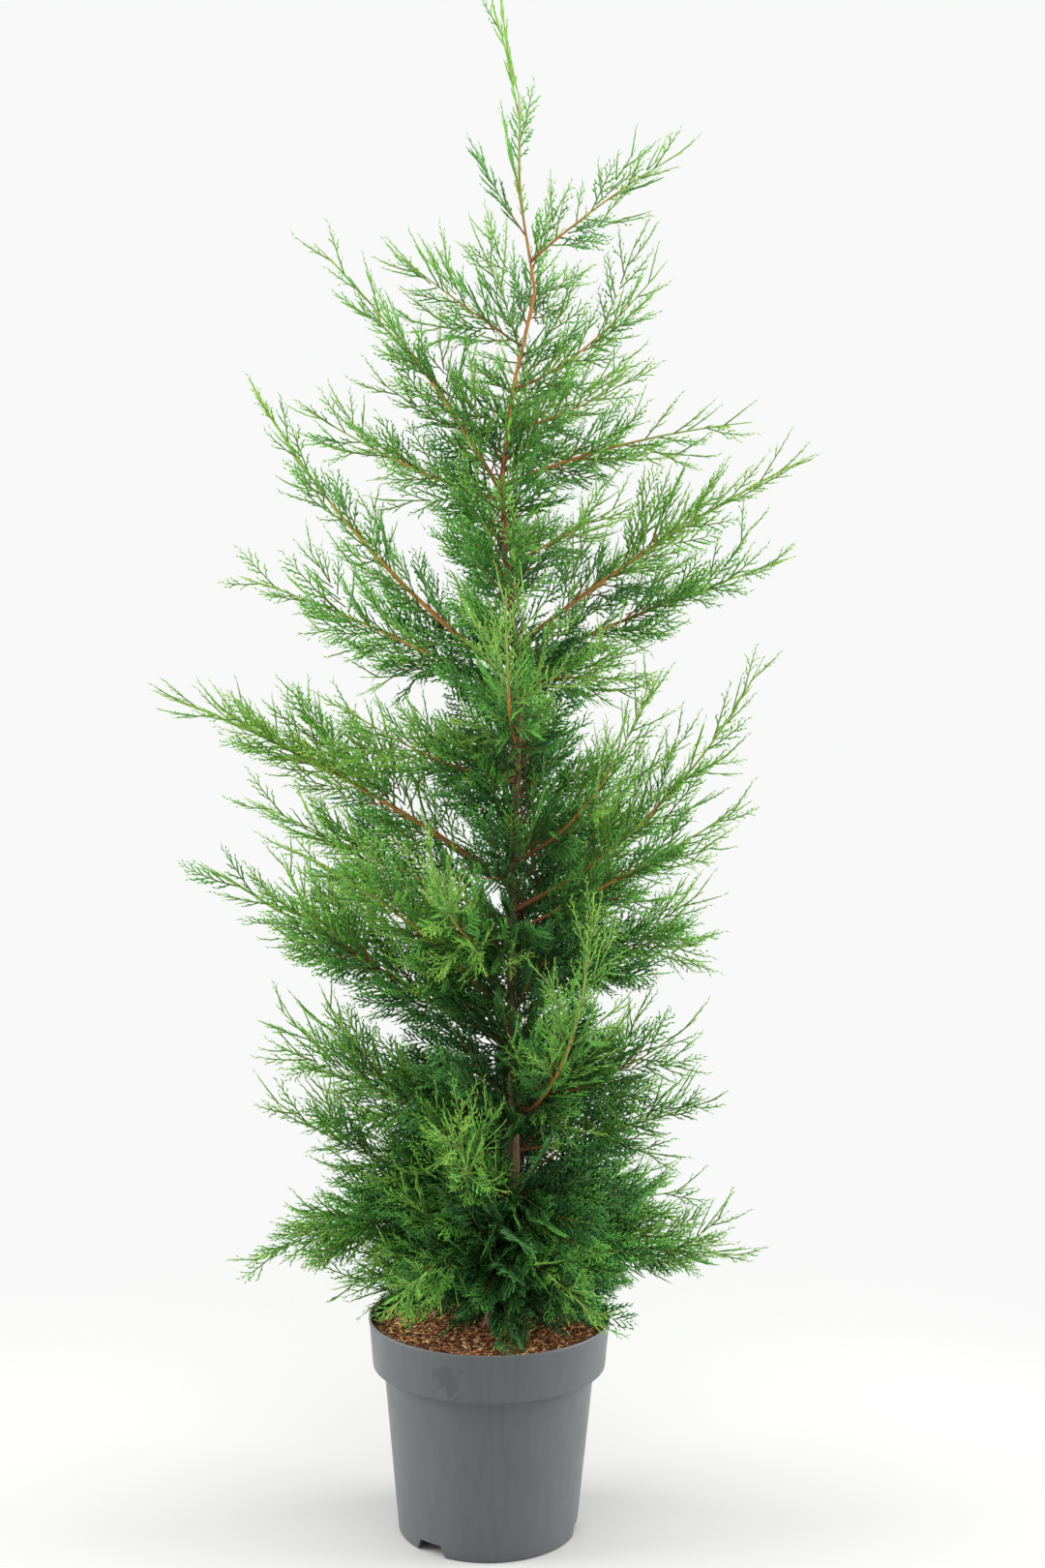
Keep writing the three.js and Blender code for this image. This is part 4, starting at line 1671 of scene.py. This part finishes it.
@dataclass
class Foliage:
    """The sprays of the whole crown and the twigs that carry them. A pair holds the value on the oldest
    and on the youngest, unless it is a range. Sizes in metres.

    shoot_radius: Of a leafy shoot at its thickest.
    twiglet_half_width: Half the width of a twiglet.
    keel: A twiglet's depth, as a share of half its width.
    branchlet_radius: Of a branchlet's stem at its tip and at the foot of a full one.
    full_lengths: Of a branchlet, a shoot and a twiglet of full thickness.
    stoutness: The range of a shoot's or twiglet's thickness, as a share of full.
    green_end: The last part of a branchlet, whose stem is green.
    ripening: How much older a stem looks away from that end, and on an old branchlet.
    straight: A shoot shorter than this is drawn straight.
    most_faces: The most triangles of a piece.
    room: The box that the crown keeps inside.
    """

    shoot_radius: Pair = (1.25 * MM, 0.95 * MM)
    twiglet_half_width: Pair = (1.5 * MM, 1.1 * MM)
    keel: float = 0.7
    branchlet_radius: Pair = (0.85 * MM, 1.3 * MM)
    full_lengths: Triple = (130 * MM, 22 * MM, 8 * MM)
    stoutness: Pair = (0.8, 1.15)
    green_end: float = 90 * MM
    ripening: Pair = (1.6, 0.8)
    straight: float = 15 * MM
    most_faces: int = 190_000
    room: tuple[np.ndarray, np.ndarray] = field(default_factory=lambda: crown_room(7 * MM))

    def build(self, trunk: StemLine, limbs: Sequence[Limb], leader: Limb, rng: np.random.Generator) -> None:
        """Grows the sprays limb by limb, and makes their twigs and leaves.

        Args:
            trunk: The trunk's line.
            limbs: The limbs.
            leader: The leading shoot.
            rng: The source of chance.
        """
        side_limbs = [side for limb in limbs for side in SIDE_LIMBS.side_limbs(limb, rng)]
        grown = [BRANCHLETS_ON_LIMB.branchlets(limb, rng) for limb in limbs]
        grown += [BRANCHLETS_ON_SIDE_LIMB.branchlets(limb, rng) for limb in side_limbs]
        grown.append(BRANCHLETS_ON_LEADER.branchlets(leader, rng))
        grown += [habit.branchlets(trunk, rng) for habit in (SHADED_SPRAYS, SKIRT_SPRAYS)]
        branchlets = Shoots.gather(grown).kept_inside(self.room)
        shoots = SHOOTS_ON_BRANCHLET.grow(branchlets, rng).kept_inside(self.room)
        twiglets = TWIGLETS_ON_SHOOT.grow(shoots, rng).kept_inside(self.room)
        counts = [len(side_limbs)] + [len(group.length) for group in (branchlets, shoots, twiglets)]
        LOG.info("%d side limbs, %d branchlets, %d shoots, %d twiglets", *counts)
        self.add_twigs(branchlets)
        self.add_leaves(shoots, twiglets, [*limbs, leader])

    def add_twigs(self, branchlets: Shoots) -> None:
        """Makes the branchlets' own stems: brown at the foot and green at the end."""
        shares = (0.0, 0.33, 0.66)
        middles = np.array([0.16, 0.5, 0.83])
        thick = np.clip(branchlets.length / self.full_lengths[0], 0.55, 1.0)
        radii = between(self.branchlet_radius, np.outer(thick, between((1.0, 0.0), np.array(shares))))
        places, faces = swept(branchlets, shares, radii)
        to_tip = column(branchlets.length) * (1 - middles[faces.min(axis=1) // ROD_SIDES]) / self.green_end
        away, old = self.ripening
        ripe = away * (to_tip - 0.4) + old * (0.5 - column(branchlets.youth))
        newest = len(TWIG_SHADES) - 1
        shade = np.clip(newest - 0.25 - ripe, 0, newest).astype(int)
        piece = build_mesh("twigs", [(places, faces, shade)])
        hand_over(piece, [], [finish.material() for finish in TWIG_SHADES])

    def add_leaves(self, shoots: Shoots, twiglets: Shoots, limbs: Sequence[Limb]) -> None:
        """Makes the leafy shoots and twiglets, and joins them by slot.

        Args:
            shoots: The leafy shoots.
            twiglets: The twiglets.
            limbs: The limbs and the leader, whose nodes the pieces stand for.
        """
        _, full_shoot, full_twiglet = self.full_lengths
        thin = between(self.shoot_radius, shoots.youth) * np.clip(shoots.length / full_shoot, *self.stoutness)
        bent = shoots.length > self.straight
        rods = swept(shoots.take(bent), (0.0, 0.7), np.outer(thin[bent], (0.8, 0.9)))
        spikes = swept(shoots.take(~bent), (0.0,), column(thin[~bent]))
        stout = np.clip(twiglets.length / full_twiglet, *self.stoutness)
        kites = keeled(twiglets, between(self.twiglet_half_width, twiglets.youth) * stout, self.keel)
        materials = [finish.material() for finish in LEAF_SHADES]
        count = len(LEAF_SHADES)
        shoot_shade, twiglet_shade = (
            np.minimum((grown.youth * count).astype(int), count - 1) for grown in (shoots, twiglets)
        )
        kinds = ((*rods, shoot_shade[bent]), (*spikes, shoot_shade[~bent]), (*kites, twiglet_shade))
        for slot in Slot:
            groups = []
            for places, faces, shade in kinds:
                chosen = np.isin(shade, slot.shades)
                groups.append((places[chosen], faces, shade[chosen] - slot.shades[0]))
            nodes = [limb.name for limb in limbs if limb.slot is slot]
            self.add_slot(slot.slot, groups, [materials[i] for i in slot.shades], nodes)

    def add_slot(
        self,
        slot: str,
        groups: Sequence[Copies],
        materials: Sequence[bpy.types.Material],
        nodes: Sequence[str],
    ) -> None:
        """Makes one slot's pieces, from the pot up, each of a size that the export keeps whole.

        Args:
            slot: The slot's name.
            groups: Its rods, spikes and kites.
            materials: Its shades of leaf.
            nodes: The frame's nodes that the first piece stands for.
        """
        total = sum(len(places) * len(faces) for places, faces, _ in groups)
        pieces = math.ceil(total / self.most_faces)
        orders = [np.argsort(places[:, 0, 2]) for places, _, _ in groups]
        for number in range(pieces):
            parts = []
            for (places, faces, shade), order in zip(groups, orders):
                start, stop = (len(order) * (number + k) // pieces for k in (0, 1))
                part = order[start:stop]
                parts.append((places[part], faces, shade[part]))
            piece = build_mesh(f"{slot}_{number + 1}", parts)
            hand_over(piece, nodes if number == 0 else [], materials)


# ---------------------------------------------------------------- the whole plant


def main() -> None:
    """Builds every piece around the frame."""
    logging.basicConfig(level=logging.INFO, format="%(name)s: %(message)s")
    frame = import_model()
    Studio().set_up()
    rng = np.random.default_rng(SEED)
    NurseryPot().build()
    Compost().build(rng)
    nodes = frame["nodes"]
    slots = {row["node"]: row["material_slot"] for row in frame["record"]["subparts"]}
    trunk = read_trunk(nodes["trunk"])
    reader = LimbReader(nodes, slots, trunk)
    limbs = reader.limbs()
    wood = Wood()
    wood.build_trunk(trunk, limbs)
    wood.build_limbs(limbs, [name for name in nodes if name.startswith("bough_")])
    Foliage().build(trunk, limbs, reader.leader(), rng)


if __name__ == "__main__":
    main()
